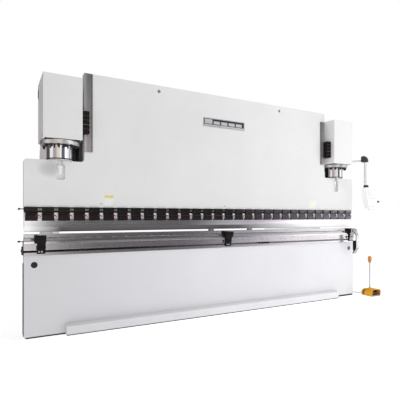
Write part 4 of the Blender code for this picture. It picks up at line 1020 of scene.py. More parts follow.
for mid in CLAMP_MIDS[:-1]:
    gap = mid + CLAMP_PITCH / 2
    pins.append(cap_screw((gap, -0.05, 1.658), FRONT, 0.0075, 0.006, 18))
    pins.append(lathe([(0, -0.001), (0.006, -0.001), (0.006, 0.005), (0.0045, 0.008), (0, 0.009)],
                      (gap + 0.004, -0.049, 1.56), FRONT, 16))
piece("clamp_gap_screws", pins, "bolt", "ram", angle=35)


def end_handle(name, body, y, z, length):
    """Short knobbed bar standing out from the left end of a row."""
    place, knob = (LEFT_END, y, z), 0.0125
    piece(name, [
        rod(0.0055, place, LEFT, -0.004, length, 16),
        lathe([(0, -0.003), (0.011, -0.003), (0.011, 0.006), (0.0065, 0.01), (0, 0.01)],
              place, LEFT, 20),
        lathe([(0, length - 0.02), (knob * 0.55, length - 0.02), (knob, length - 0.01),
               (knob, length + 0.004), (knob * 0.7, length + 0.011), (0, length + 0.013)],
              place, LEFT, 24)], "grip", body, angle=35)


end_handle("clamp_row_handle", "ram", y=-0.045, z=1.662, length=0.058)
end_handle("die_row_handle", "root", y=-0.034, z=1.243, length=0.062)

# ============================================================ ram: plates, labels
# blank badge: rim, dark field, pale lower band and five pale blocks
PLATE_RIM, PLATE_FIELD, PLATE_BLOCK = -0.0654, -0.0672, -0.069
badge = [(box(-0.395, 0.395, PLATE_RIM, -0.0603, 3.012, 3.152), 0),
         (box(-0.382, 0.382, PLATE_FIELD, -0.0655, 3.05, 3.14), 1),
         (box(-0.382, 0.382, PLATE_FIELD, -0.0655, 3.022, 3.044), 2)]
for x0, x1, z1 in ((-0.372, -0.232, 3.132), (-0.208, -0.09, 3.108), (-0.066, 0.052, 3.108),
                   (0.076, 0.194, 3.108), (0.218, 0.336, 3.108)):
    badge.append((box(x0, x1, PLATE_BLOCK, -0.0673, 3.058, z1), 2))
piece("badge_plate", tagged(badge), ["rim", "plate", "badge_pale"], "ram", bevel=0.001,
      cad=("name_plate", "plate_black"))
piece("badge_rivets", [
    lathe([(0, -0.001), (0.004, -0.001), (0.0034, 0.0012), (0.0018, 0.0022), (0, 0.0024)],
          (x, PLATE_RIM, z), FRONT, 16)
    for x in (-0.3885, 0.3885) for z in (3.0185, 3.1455)], "rim", "ram")

RAM_SKIN = -0.0603            # rear of the labels on the ram's front
for name, x0, x1, z0, z1, finish in (
        ("label_yellow_left", -1.973, -1.845, 1.83, 1.862, "label_y"),
        ("label_pale_left", -1.973, -1.845, 1.712, 1.812, "label_w"),
        ("label_right", 1.862, 2.03, 1.722, 1.856, "label_w")):
    piece(name, slab(x0, x1, RAM_SKIN - 0.001, RAM_SKIN, z0, z1, 0.008, "Y"), finish, "ram",
          bevel=0.0003)
piece("label_right_band", slab(1.876, 2.016, -0.0617, -0.0614, 1.806, 1.842, 0.004, "Y"),
      "label_faint", "ram")
piece("small_marks", [
    slab(x - 0.012, x + 0.012, -0.0612, RAM_SKIN, z - 0.008, z + 0.008, 0.003, "Y")
    for x, z in ((-2.022, 1.745), (0.005, 1.735))], "mark_red", "ram")

# ============================================================ rods, flanges, shoes
STUD_Y = -0.006
ROD_FOOT = 2.31
FLANGE_LOW = 2.51
STRIP_SCREW_HEIGHTS = {"left": (2.52, 2.66, 2.8, 2.94, 3.08, 3.22, 3.36, 3.49),
                       "right": (2.6, 2.72, 2.84, 2.96, 3.08, 3.2, 3.32)}
for side, sign in SIDES:
    mid = sign * CYLINDER_X
    axis = (mid, 0, 0)
    piece("rod_" + side, lathe([
        (0, 2.3103), (0.1625, 2.3103), (0.1675, 2.3153), (0.1675, 2.94), (0.1745, 2.95),
        (0.1745, 3.04), (0, 3.04)], axis, UP, 96),
        "chrome", "ram", cad=("piston_rod_" + side, "chrome"), angle=25)

    # tie stud below the rod: tip, bulged seat, washer and nut
    stud_axis = (mid, STUD_Y, 0)
    piece("tie_" + side, [
        lathe([(0, 2.1315), (0.0155, 2.1315), (0.017, 2.1334), (0.017, 2.1498), (0, 2.1498)],
              stud_axis, UP, 40),
        lathe([(0, 2.1996), (0.027, 2.1996), (0.036, 2.2125), (0.0425, 2.2262), (0.043, 2.2353),
               (0.039, 2.2505), (0.027, 2.2642), (0.0175, 2.2718), (0.0175, 2.309), (0, 2.309)],
              stud_axis, UP, 48),
        lathe([(0, 2.1859), (0.0385, 2.1859), (0.04, 2.187), (0.04, 2.1977), (0.0385, 2.1988),
               (0, 2.1988)], stud_axis, UP, 48),
        hexagon([(0.031, 2.1502), (0.0355, 2.1536), (0.0355, 2.1817), (0.031, 2.1851)],
                mid, STUD_Y, turn=0.3)],
        "nut_pale", "ram", bevel=0.0006, cad=("tie_stud_" + side, "chrome"), angle=30)
    # dark collar round the rod's foot: painted shade for the rod's shaded lower edge; and the plate
    # closing the pocket behind the stud
    piece("rod_foot_" + side, lathe([
        (0.14, 2.3101), (0.159, 2.3101), (0.169, 2.32), (0.169, 2.333), (0.1677, 2.3345),
        (0.14, 2.3345)], axis, UP, 96), "bolt", "ram", bevel=0.0006, angle=35)
    keyhole = [(mid - 0.0275, 2.263)]
    keyhole += arc(mid, 2.225, 0.0575, (130, 147, 163, 180))
    keyhole += [(mid - 0.0575, 2.0755), (mid - 0.0395, 2.0555), (mid + 0.0395, 2.0555),
                (mid + 0.0575, 2.0755)]
    keyhole += arc(mid, 2.225, 0.0575, (0, 17, 33, 50))
    keyhole += [(mid + 0.0275, 2.263), (mid + 0.0275, 2.3095), (mid - 0.0275, 2.3095)]
    # the plate glows a little: painted light that lifts the shade in the pocket
    piece("pocket_back_" + side, prism(keyhole, "Y", -0.012, -0.006), "pocket", "ram")
    # wiper ring round the rod, under the flange
    piece("rod_wiper_" + side, lathe([
        (0.169, 2.506), (0.186, 2.506), (0.188, 2.508), (0.188, 2.5099), (0.169, 2.5099)],
        axis, UP, 72), "rubber")

    # flange with bevelled rim, and its ring of cap screws
    piece("flange_" + side, lathe([
        (0.169, FLANGE_LOW), (0.244, FLANGE_LOW), (0.25, 2.516), (0.25, 2.559), (0.246, 2.5648),
        (0.169, 2.5648)], axis, UP, 96),
        "gland", cad=("gland_flange_" + side, "bright_steel"), angle=25)
    heads = []
    for x, y in arc(mid, 0, 0.214, (28, 53, 78, 102, 127, 152, 208, 233, 258, 282, 307, 332)):
        heads.append(cap_screw((x, y, FLANGE_LOW), DOWN, 0.0172, 0.038, 28))
        heads.append(rod(0.0215, (x, y, FLANGE_LOW), DOWN, 0, 0.0025, 28))
    piece("flange_screws_" + side, heads, "bolt", angle=35)

    # adjusting screws with lock nuts on the guide shoe: front face and inner face
    screws, nuts = [], []
    for i in range(5):
        z = 2.712 + 0.061 * i
        for place, normal in (((sign * 2.235, -0.17, z), FRONT), ((sign * 2.276, -0.17, z), FRONT),
                              ((sign * 2.205, -0.125, z), (-sign, 0, 0))):
            nuts.append(hex_bolt(place, normal, 0.019, 0.008))
            screws.append(rod(0.0055, place, normal, 0, 0.0175, 16, 0.0008))
    piece("shoe_nuts_" + side, nuts, "shoe", bevel=0.0004)
    piece("shoe_setscrews_" + side, screws, "bolt")
    piece("shoe_shims_" + side, [
        box(*span(sign * 2.206, sign * 2.303), -0.1712, -0.1702, z0, z1)
        for z0, z1 in ((2.7409, 2.7441), (2.8629, 2.8661), (2.9239, 2.9271), (2.7995, 2.8075))],
        "brass")
    piece("strip_screws_" + side, [
        flat_screw((sign * 2.158, -0.0756, z), FRONT, 0.0072, 0.0036, top=0.0002, floor=-0.0008,
                   base=-0.0012) for z in STRIP_SCREW_HEIGHTS[side]], "bolt", "ram")

# ============================================================ table, bed
# ledge along the table's upper front edge; its finish is a painted highlight that brightens and
# glows toward the ends
piece("table_ledge", prism([
    (TABLE_FACE - 0.0002, 1.2145), (TABLE_FACE - 0.003, 1.216), (TABLE_FACE - 0.003, 1.236),
    (TABLE_FACE - 0.0002, 1.2392)], "X", -BED_HALF, BED_HALF), "shelf", bevel=0.0004)
# T-slot nuts with their studs, parked in two groups
SLOT_NUTS = (-2.49, -2.432, -2.374, -2.3, -2.242, 0.69, 0.752, 0.814, 0.876)
SLOT_Z = 1.114
piece("slot_nuts", [
    slab(x - 0.019, x + 0.019, TABLE_FACE + 0.0005, TABLE_FACE + 0.0205, SLOT_Z - 0.013,
         SLOT_Z + 0.013, 0.003, "Y") for x in SLOT_NUTS], "bolt", bevel=0.0008)
piece("slot_nut_studs", [hex_bolt((x, TABLE_FACE + 0.0004, SLOT_Z), FRONT, 0.024, 0.011)
                         for x in SLOT_NUTS], "bolt", bevel=0.0006, angle=35)
piece("table_setscrews", [
    flat_screw((-2.8 + 0.4 * k + x, TABLE_FACE + 0.006, 1.17), FRONT, 0.008, 0.0045, top=0.0008,
               floor=-0.0005) for k in range(15) for x in (-0.05, 0.05)], "bolt")
# hand wheel at the table's left end
WHEEL = (-3.0115, -0.05, 1.125)
piece("slot_handwheel", lathe([
    (0, -0.004), (0.03, -0.004), (0.034, 0), (0.052, 0.003), (0.0575, 0.008), (0.0575, 0.016),
    (0.052, 0.021), (0.02, 0.023), (0.016, 0.03), (0, 0.031)], WHEEL, LEFT, 48),
    "grip", angle=35)
piece("handwheel_studs", [
    lathe([(0, 0.0215), (0.006, 0.0215), (0.006, 0.0225), (0.0042, 0.024), (0, 0.024)],
          (WHEEL[0], y, z), LEFT, 16)
    for y, z in arc(WHEEL[1], WHEEL[2], 0.042, range(0, 360, 60))], "rim")

for side, sign in SIDES:
    # rubber plug in the bed: rim and dished face
    piece("plug_" + side, lathe([
        (0, 0.0008), (0.024, 0.0012), (0.028, 0.0042), (0.0345, 0.0042), (0.0405, 0.0012),
        (0.0405, 0.0002), (0.0352, 0.0002), (0.0352, -0.026), (0, -0.026)],
        (sign * 2.885, -0.086, 0.94), FRONT, 48), "rubber" if side == "left" else "plug_grey",
        cad=("bed_plug_" + side, "plug_black"), angle=35)

piece("foot_strip_screws", [
    flat_screw((-2.42 + k * 0.44, -0.19, 0.064), FRONT, 0.009, 0.0046, floor=-0.0006, steps=24)
    for k in range(12)], "strip_paint")
# dark strips along the foot of the strip and the bed: painted contact shadow where they meet the
# floor:
# (name, rear y, front y, front height, rear height, x from, x to, finish)
for name, rear, front, low, high, x0, x1, finish in (
        ("strip", -0.1902, -0.1925, 0.0095, 0.012, -2.498, 2.488, "edge_dark"),
        ("left", -0.0862, -0.0895, 0.013, 0.017, -2.984, -2.5005, "rubber"),
        ("right", -0.0862, -0.0895, 0.024, 0.028, 2.4905, 2.984, "rubber")):
    piece("floor_contact_shade_" + name, prism([(rear, 0), (front, 0), (front, low), (rear, high)],
                                      "X", x0, x1), finish)
# dark plate on the bed's left end: painted shade for the shaded end face
piece("bed_end_shade_left", box(-3.0145, -3.0083, -0.085, 0.059, 0.03, 0.96), "edge_dark",
      bevel=0.001)
# weld seams between the bed and the frames, at the back of the bed
for side, sign in SIDES:
    for letter, flank in (("a", -1), ("b", 1)):
        x = sign * FRAME_X + flank * 0.0535
        piece(f"bed_weld_{side}_{letter}", weld_bead((x, 0.062, 0.02), (x, 0.062, 0.985), 0.006, 3),
              "weld", angle=60)
# ribs behind the bed
for k, x in enumerate((-1.9, -1.14, -0.38, 0.38, 1.14, 1.9)):
    piece(f"bed_rib_{k}", prism([
        (0.0603, 0.002), (0.235, 0.002), (0.235, 0.06), (0.11, 0.82), (0.0603, 0.96)],
        "X", x - 0.009, x + 0.009), "frame", bevel=0.0012)
    piece(f"bed_rib_weld_{k}", weld_bead((x + 0.0115, 0.0625, 0.01), (x + 0.0115, 0.0625, 0.94),
                                         0.005, 10 + k), "weld", angle=60)
piece("bed_back_rail", slab(-2.44, 2.44, 0.0605, 0.12, 0.965, 1.045, 0.006, "X"), "frame",
      bevel=0.001)
piece("bed_back_screws", [cap_screw((-2.35 + 0.4273 * k, 0.12, 1.005), BACK, 0.012, 0.012)
                          for k in range(12)], "bolt", angle=35)

# ============================================================ front supports
SUPPORTS = {"left": -2.807, "middle": 0.024, "right": 2.886}
for name, x in SUPPORTS.items():
    slider, arm = "slider_" + name, "arm_" + name
    # steel pad proud of the black arm, with its screws
    piece("support_pad_" + name,
          slab(x - 0.044, x + 0.046, -0.204, -0.062, 1.3283, 1.3365, 0.006), "pad", arm,
          bevel=0.0012)
    piece("support_pad_screws_" + name, [
        flat_screw((x + shift, y, 1.3367), UP, 0.0065, 0.0032)
        for shift in (-0.026, 0.028) for y in (-0.185, -0.085)], "bolt", arm)
    # clamping lever on the arm's left side: hub, bent bar and knob
    piece("support_lever_" + name, [
        lathe([(0, -0.002), (0.016, -0.002), (0.016, 0.01), (0.012, 0.014), (0, 0.014)],
              (x - 0.08, -0.095, 1.268), LEFT, 28),
        sweep(fillet_path([(x - 0.089, -0.095, 1.268), (x - 0.101, -0.082, 1.262),
                           (x - 0.107, -0.06, 1.262)], 0.01), circle(0.0048)),
        lathe([(0, -0.004), (0.008, -0.002), (0.0105, 0.006), (0.0085, 0.016), (0, 0.018)],
              (x - 0.107, -0.06, 1.262), BACK, 20)], "grip", arm, angle=35)
    piece("support_bolts_" + name, [hex_bolt((x + shift, -0.1655, 1.172), FRONT, 0.017, 0.0075)
                                    for shift in (-0.022, 0.022)], "shoe", arm, bevel=0.0004)
    # slider: cap screws into the T-slot, and a felt wiper each side
    piece("slider_bolts_" + name, [cap_screw((x + shift, -0.149, SLOT_Z), FRONT, 0.0105, 0.01, 24)
                                   for shift in (-0.028, 0.006)], "zinc", slider, angle=35)
    piece("slider_wipers_" + name, [
        box(x + x0, x + x0 + 0.0045, -0.14, -0.105, 1.135, 1.185) for x0 in (-0.0545, 0.05)],
        "rubber", slider, bevel=0.0006)
    # blank scale along the arm's right side
    piece("support_scale_" + name, box(x + 0.055, x + 0.0556, -0.2, -0.07, 1.302, 1.316), "rim",
          arm, bevel=0.0002)

# second finishes on carried-over nodes, all painted light: a painted sheen on the fronts of the
# right-hand support, painted highlight and shade on the punch's dull taper, painted shade in the
# table's dark slot, the frames' lit inner faces, the right frame's painted-shade outer face and the
# right cover's lit inner side
for node in ("support_arm_right", "support_slider_right", "support_stop"):
    face_finish(node, "support_front", lambda centre, normal: normal.y < -0.75)
face_finish("punch", "tool_tip", lambda centre, normal: normal.z < -0.2 and normal.y < -0.2)
face_finish("worktable", "slot_dark", lambda centre, normal: (
    -0.2 < centre.y and centre.y > -0.0945 and 1.07 < centre.z < 1.16 and abs(normal.x) < 0.5))
for side, sign in SIDES:
    face_finish("c_frame_" + side, "frame_lift",
                lambda centre, normal: normal.y < -0.5 or sign * normal.x < -0.8)
# the right frame's outer face: painted shade
face_finish("c_frame_right", "frame_side", lambda centre, normal: normal.x > 0.8)
face_finish("cylinder_cover_right", "cover_lift", lambda centre, normal: normal.x < -0.75)

# hinge pin of the drop stop with its two snap rings, and a face plate on the stop
stop_x = SUPPORTS["right"]
HINGE = (stop_x, -0.232, 1.292)
piece("stop_pin", [rod(0.006, HINGE, RIGHT, -0.06, 0.06, 20, 0.001),
                   rod(0.0105, HINGE, RIGHT, 0.0525, 0.055, 20),
                   rod(0.0105, HINGE, LEFT, 0.0525, 0.055, 20)], "zinc", "arm_right", angle=35)
piece("stop_face", slab(stop_x - 0.037, stop_x + 0.037, -0.3035, -0.3002, 0.956, 1.196, 0.008, "Y"),
      "pad", "stop", bevel=0.0008)
piece("stop_face_screws", [
    flat_screw((stop_x + x, -0.3037, z), FRONT, 0.0055, 0.0028)
    for x in (-0.022, 0.022) for z in (0.99, 1.076, 1.162)], "bolt", "stop")
piece("stop_side_rib", [
    slab(stop_x + x, stop_x + x + 0.004, -0.296, -0.29, 0.96, 1.19, 0.002, "X")
    for x in (-0.0426, 0.0386)], "support", "stop", bevel=0.0005)

# ============================================================ covers, cylinders, guides
for side, sign in SIDES:
    outside, inside = sign * 2.797, sign * 2.31
    mid = sign * CYLINDER_X
    # return flanges inside the cover's lower edge
    piece("cover_flange_" + side, [
        box(*span(outside - sign * 0.0045, inside + sign * 0.0045), -0.2455, -0.22,
            2.5725, 2.575),
        box(*span(outside - sign * 0.0045, outside - sign * 0.0265), -0.2195, 0.345,
            2.5725, 2.575)], "cover", bevel=0.0004)
    # button screws along the sides, and the latch near the upper rear corner
    piece("cover_screws_" + side, [
        lathe([(0, -0.001), (0.0085, -0.001), (0.008, 0.0016), (0.0052, 0.0034), (0.003, 0.0038),
               (0.003, 0.0018), (0, 0.0018)], (outside, y, z), (sign, 0, 0), 24)
        for y in (-0.215, 0.04, 0.3) for z in (2.6, 3.365)], "zinc", angle=40)
    piece("cover_latch_" + side, [
        slab(*span(outside, outside + sign * 0.003), 0.262, 0.33, 3.19, 3.33, 0.006, "X"),
        slab(*span(outside + sign * 0.0031, outside + sign * 0.006), 0.27, 0.322, 3.215, 3.3,
             0.008, "X")], "grip", bevel=0.0015)
    # vent slots with raised lips on top; each slot is a dark plate on its lip: painted shade for
    # the opening
    x = sign * 2.5535
    vents = []
    for k in range(7):
        y = -0.14 + 0.055 * k
        vents.append((slab(x - 0.13, x + 0.13, y - 0.009, y + 0.009, 3.3942, 3.3975, 0.008), 0))
        vents.append((slab(x - 0.124, x + 0.124, y - 0.0045, y + 0.0045, 3.3976, 3.399, 0.004), 1))
    piece("cover_vents_" + side, tagged(vents), ["cover", "dark_in2"], bevel=0.0006)

    # cylinder: tube with a groove below its end cap, rear pad, cap screws, port fitting
    piece("tube_" + side, lathe([
        (0.176, 2.5653), (0.213, 2.5653), (0.215, 2.5673), (0.215, 3.26), (0.213, 3.262),
        (0.209, 3.262), (0.209, 3.268), (0.213, 3.268), (0.215, 3.27), (0.215, 3.334),
        (0.21, 3.3398), (0, 3.3398), (0, 3.28), (0.176, 3.28)], (mid, 0, 0), UP, 96),
        "cyl", cad=("cylinder_" + side, "cylinder_steel"), angle=25)
    piece("tube_pad_" + side, slab(mid - 0.1, mid + 0.1, 0.193, 0.2547, 2.62, 3.3, 0.01, "Y"),
          "cyl", bevel=0.002)
    under_fitting = 45 if side == "left" else 135     # no screw here
    angles = [a for a in range(15, 375, 30) if a != under_fitting]
    piece("tube_cap_screws_" + side, [cap_screw((x, y, 3.3398), UP, 0.015, 0.016, 24)
                                      for x, y in arc(mid, 0, 0.168, angles)], "bolt", angle=35)
    port_x = sign * PORT_X
    piece("port_fitting_" + side, [
        ring(0.0165, 0.03, (port_x, PORT_Y, 0), UP, 3.34, 3.344, 32),
        hexagon([(0.0255, 3.3442), (0.0275, 3.346), (0.0275, 3.36), (0.0255, 3.362)],
                port_x, PORT_Y)], "zinc", bevel=0.0005)
    piece("guide_rail_screws_" + side, [
        cap_screw((sign * 2.165, 0.4, z), BACK, 0.012, 0.012)
        for z in (2.45, 2.65, 2.85, 3.05, 3.25)], "bolt", angle=35)
    piece("grease_nipple_" + side, lathe([
        (0, -0.001), (0.007, -0.001), (0.007, 0.006), (0.0045, 0.009), (0.0045, 0.014),
        (0.003, 0.018), (0, 0.018)], (sign * 2.255, -0.122, 2.985), UP, 20), "zinc", angle=35)
# black switch block at the right cover's lower outside
piece("limit_switch", [slab(2.799, 2.819, -0.06, -0.02, 2.516, 2.582, 0.004, "X"),
                       rod(0.012, (2.809, -0.04, 2.502), UP, -0.014, 0.0138, 20, 0.001)],
      "grip", bevel=0.001)
piece("limit_switch_plate", box(2.7975, 2.7988, -0.07, -0.01, 2.52, 2.64), "zinc", bevel=0.0003)

# ============================================================ frames
# doubler round the left frame's throat (y, z): outer edge, then the throat's own edge
THROAT_OUTER = [(0.3, 0.96), (0.52, 0.96), (0.56, 1.0), (0.56, 2.26), (0.52, 2.3), (0.32, 2.3)]
throat_edge = [(0.32, 2.2503), (0.34, 2.2503)]
throat_edge += arc(0.34, 2.13, 0.1203, range(90, -1, -15))
throat_edge += arc(0.34, 1.12, 0.1203, range(0, -91, -15))
throat_edge.append((0.3, 0.9997))
for side, sign in SIDES:
    mid = sign * FRAME_X
    # base pads with anchor bolts at the frame's rear foot; the outer ones lie further back
    for letter, flank in (("a", -1), ("b", 1)):
        tag = side + "_" + letter
        x0, x1 = span(mid + flank * 0.0503, mid + flank * 0.15)
        y = 1.98 if flank == sign else 1.72
        piece("foot_pad_" + tag, slab(x0, x1, y - 0.12, y + 0.12, 0.002, 0.034, 0.006, "Y"),
              "frame", bevel=0.002)
        places = [((x0 + x1) / 2, y + shift, 0.034) for shift in (-0.06, 0.06)]
        piece("foot_anchor_" + tag, [hex_bolt(place, UP, 0.036, 0.018) for place in places]
              + [rod(0.0115, place, UP, 0.015, 0.075, 20, 0.001) for place in places],
              "zinc", angle=35)
        x = mid + flank * 0.0535
        piece("foot_weld_" + tag, weld_bead((x, y - 0.118, 0.0375), (x, y + 0.118, 0.0375),
                                            0.0055, 5), "weld", angle=60)
    if side == "left":
        piece("throat_doubler_left", prism(THROAT_OUTER + throat_edge, "X", -2.612, -2.6003),
              "frame", bevel=0.0015)
        piece("throat_weld_left", weld_bead((-2.6015, 0.5635, 1.01), (-2.6015, 0.5635, 2.25),
                                            0.006, 8), "weld", angle=60)
    # lifting lug on the frame's top edge
    lug = arc(0.6, 3.42, 0.055, range(-20, 201, 20)) + [(0.52, 3.3603), (0.68, 3.3603)]
    piece("lifting_lug_" + side, prism(lug, "X", mid - 0.016, mid + 0.016), "frame", bevel=0.002)
    piece("lifting_eye_" + side, ring(0.024, 0.036, (mid, 0.6, 3.425), RIGHT, -0.019, 0.019, 32),
          "bolt", bevel=0.001)
    # weld beads of the tank and of the lower beam where they meet the frame
    x = sign * 2.4965
    piece("tank_weld_" + side, [
        weld_bead((x, 0.6165, 2.79), (x, 0.6165, 3.24), 0.0055, 1),
        weld_bead((x, 1.3035, 2.79), (x, 1.3035, 3.24), 0.0055, 2),
        weld_bead((x, 0.63, 3.2535), (x, 1.29, 3.2535), 0.0055, 4)], "weld", angle=60)
    piece("beam_weld_" + side, [
        weld_bead((x, 2.064, 0.13), (x, 2.064, 0.47), 0.006, 1),
        weld_bead((x, 1.896, 0.13), (x, 1.896, 0.47), 0.006, 2)], "weld", angle=60)
    piece("jaw_bolts_" + side, [
        hex_bolt((mid + sign * 0.0503, 0.305, z), (sign, 0, 0), 0.03, 0.014)
        for z in (2.4, 2.46)], "zinc", bevel=0.0006)

# ============================================================ oil tank
TANK_TOP = 3.2503
LID_TOP = 3.262
piece("tank_lid_gasket", slab(-2.05, -1.45, 0.72, 1.2, TANK_TOP, 3.253, 0.03), "rubber")
piece("tank_lid", slab(-2.04, -1.46, 0.73, 1.19, 3.2532, LID_TOP, 0.028), "frame", bevel=0.0015)
lid_bolts = [(-2.005 + 0.102 * i, y) for i in range(6) for y in (0.755, 1.165)]
lid_bolts += [(x, y) for y in (0.86, 0.96, 1.06) for x in (-2.015, -1.485)]
piece("tank_lid_bolts", [hex_bolt((x, y, LID_TOP), UP, 0.017, 0.0075) for x, y in lid_bolts],
      "zinc", bevel=0.0004)
piece("tank_lid_handle", sweep(fillet_path([
    (-1.84, 0.96, LID_TOP), (-1.84, 0.96, 3.3), (-1.66, 0.96, 3.3), (-1.66, 0.96, LID_TOP)],
    0.02), circle(0.006)), "zinc", angle=35)
# breather cap standing in the filler neck
breather = lathe([
    (0, 3.23), (0.04, 3.23), (0.04, 3.2505), (0.062, 3.2515), (0.062, 3.256), (0.044, 3.257),
    (0.044, 3.272), (0.06, 3.275), (0.064, 3.279), (0.064, 3.306), (0.06, 3.312),
    (0.04, 3.315), (0, 3.3155)], (-1.1, 0.95, 0), UP, 64)
piece("tank_breather", flute(breather, axes=(0, 1), centre=(-1.1, 0.95), beyond=0.063,
                             depth=0.035, count=16), "grip", angle=35)
# level gauge on the tank's rear face, drain plug below
piece("tank_level_gauge", tagged([
    (slab(-1.235, -1.185, 1.3003, 1.312, 2.84, 3.14, 0.01, "Y"), 0),
    (slab(-1.222, -1.198, 1.3122, 1.32, 2.87, 3.11, 0.008, "Y"), 1)]),
    ["grip", "glass"], bevel=0.0015)
piece("tank_gauge_screws", [hex_bolt((-1.21, 1.312, z), BACK, 0.016, 0.008)
                            for z in (2.855, 3.125)], "zinc", bevel=0.0004)
piece("tank_drain", hex_bolt((-2.1, 0.96, 2.78), DOWN, 0.036, 0.02), "zinc", bevel=0.0006)
for name, y0, y1, z1 in (("rear", 1.3003, 1.33, 3.24), ("front", 0.59, 0.6197, 3.2)):
    piece(f"tank_{name}_ribs", [slab(x - 0.006, x + 0.006, y0, y1, 2.79, z1, 0.003)
                                for x in (-1.65, -0.55, 0.55, 1.65)], "frame", bevel=0.001)

# ============================================================ motor and pump
MOTOR_X, MOTOR_Y, MOTOR_Z = MOTOR = (0.1, 0.95, 3.425)    # its shaft lies along X


def on_shaft(profile, steps):
    """Turn a profile of (radius, x from the motor's centre) about the shaft."""
    return lathe(profile, MOTOR, RIGHT, steps)


def around_shaft(shape, angle):
    """Turn a part built at the origin about the shaft, from +Y toward +Z."""
    turned = Matrix.Translation(MOTOR) @ Matrix.Rotation(angle, 4, "X")
    bmesh.ops.transform(shape, matrix=turned, verts=shape.verts)
    return shape


piece("motor_core", [
    on_shaft([(0, -0.155), (0.121, -0.155), (0.121, 0.175), (0, 0.175)], 64),
    on_shaft([(0, 0.1755), (0.13, 0.1755), (0.136, 0.182), (0.136, 0.2), (0.128, 0.212),
              (0.06, 0.236), (0, 0.236)], 64),
    on_shaft([(0, 0.2365), (0.165, 0.2365), (0.1745, 0.242), (0.1745, 0.256), (0.168, 0.262),
              (0, 0.262)], 64)], "motor", cad=("pump_motor", "motor_paint"), angle=25)
# no fins at the top and bottom, under the terminal box and over the feet
piece("motor_fins", [
    around_shaft(box(-0.15, 0.17, 0.12, 0.1475, -0.0022, 0.0022), 2 * pi * i / 36)
    for i in range(36) if i % 18 not in range(7, 12)], "motor", bevel=0.0012)
grille = [on_shaft([
    (0.13, -0.1555), (0.148, -0.1555), (0.1495, -0.16), (0.1495, -0.232), (0.14, -0.248),
    (0.108, -0.25), (0.108, -0.246), (0.138, -0.244), (0.1455, -0.231), (0.1455, -0.16),
    (0.13, -0.1595)], 72)]
grille += [ring(radius, radius + 0.0045, MOTOR, RIGHT, -0.2485, -0.2455, 48)
           for radius in (0.02, 0.042, 0.064, 0.086)]
grille += [around_shaft(box(-0.248, -0.246, 0.006, 0.11, -0.0022, 0.0022), pi / 3 * i)
           for i in range(6)]
piece("motor_cowl", grille, "motor_cowl", bevel=0.0006, angle=30)
fan = [on_shaft([(0, -0.175), (0.03, -0.175), (0.03, -0.225), (0, -0.225)], 32)]
fan += [around_shaft(box(-0.222, -0.18, 0.028, 0.118, -0.0018, 0.0018), pi / 4 * i + 0.2)
        for i in range(8)]
piece("motor_fan", fan, "grip", bevel=0.0005)
piece("motor_terminal_box", [slab(-0.018, 0.158, 0.852, 1.048, 3.545, 3.598, 0.012),
                             slab(-0.022, 0.162, 0.848, 1.052, 3.5985, 3.6185, 0.014)],
      "motor", bevel=0.002)
piece("motor_box_neck", slab(0.01, 0.13, 0.88, 1.02, 3.53, 3.5445, 0.01), "motor", bevel=0.002)
piece("motor_box_screws", [cap_screw((x, y, 3.6145), UP, 0.006, 0.005, 18)
                           for x in (-0.01, 0.15) for y in (0.86, 1.04)], "zinc", angle=35)
# feet: a plate across each end, with a strut (y, z) leaning in from the front and the rear
STRUT_FRONT = [(0.842, 3.2645), (0.868, 3.2645), (0.9, 3.335), (0.884, 3.345)]
STRUT_REAR = [(2 * MOTOR_Y - y, z) for y, z in STRUT_FRONT]
feet = [slab(x, x + 0.06, 0.8, 1.1, 3.251, 3.264, 0.006) for x in (-0.07, 0.2)]
feet += [prism(strut, "X", x, x + 0.04) for x in (-0.06, 0.21)
         for strut in (STRUT_FRONT, STRUT_REAR)]
piece("motor_feet", feet, "motor", bevel=0.0015)
piece("motor_foot_bolts", [hex_bolt((x, y, 3.264), UP, 0.02, 0.01)
                           for x in (-0.04, 0.23) for y in (0.822, 1.078)], "zinc", bevel=0.0005)
piece("motor_eye", [ring(0.013, 0.025, (0.205, MOTOR_Y, 3.59), RIGHT, -0.006, 0.006, 32),
                    rod(0.01, (0.205, MOTOR_Y, 3.56), UP, 0, 0.009, 20)], "zinc", bevel=0.001)
piece("motor_nameplate", slab(0, 0.09, 0.801, 0.8022, 3.395, 3.455, 0.004, "Y"), "rim")
piece("motor_flange_bolts", [
    hex_bolt((MOTOR_X + 0.262, MOTOR_Y + 0.145 * cos(pi / 4 * i + 0.39),
              MOTOR_Z + 0.145 * sin(pi / 4 * i + 0.39)), RIGHT, 0.019, 0.009)
    for i in range(8)], "zinc", bevel=0.0005)
PUMP_X = 0.535                # the pump's ports
piece("pump_bell", on_shaft([
    (0, 0.2625), (0.14, 0.2625), (0.14, 0.272), (0.095, 0.285), (0.08, 0.3), (0.08, 0.375),
    (0.095, 0.382), (0.095, 0.392), (0, 0.392)], 64), "frame", angle=25)
piece("pump_body", on_shaft([
    (0, 0.3925), (0.078, 0.3925), (0.078, 0.402), (0.066, 0.41), (0.066, 0.452),
    (0.072, 0.456), (0.072, 0.472), (0.062, 0.48), (0, 0.48)], 56), "cyl", angle=25)
piece("pump_ports", [
    slab(PUMP_X - 0.02, PUMP_X + 0.02, MOTOR_Y - 0.095, MOTOR_Y - 0.062, MOTOR_Z - 0.026,
         MOTOR_Z + 0.026, 0.005, "Y"),
    rod(0.02, (PUMP_X, MOTOR_Y - 0.095, MOTOR_Z), FRONT, 0, 0.02, 28, 0.001)],
    "cyl", bevel=0.0015)
piece("pump_bolts", [
    cap_screw((MOTOR_X + 0.48, MOTOR_Y + 0.048 * cos(pi / 2 * i + 0.78),
               MOTOR_Z + 0.048 * sin(pi / 2 * i + 0.78)), RIGHT, 0.008, 0.008)
    for i in range(4)], "bolt", angle=35)
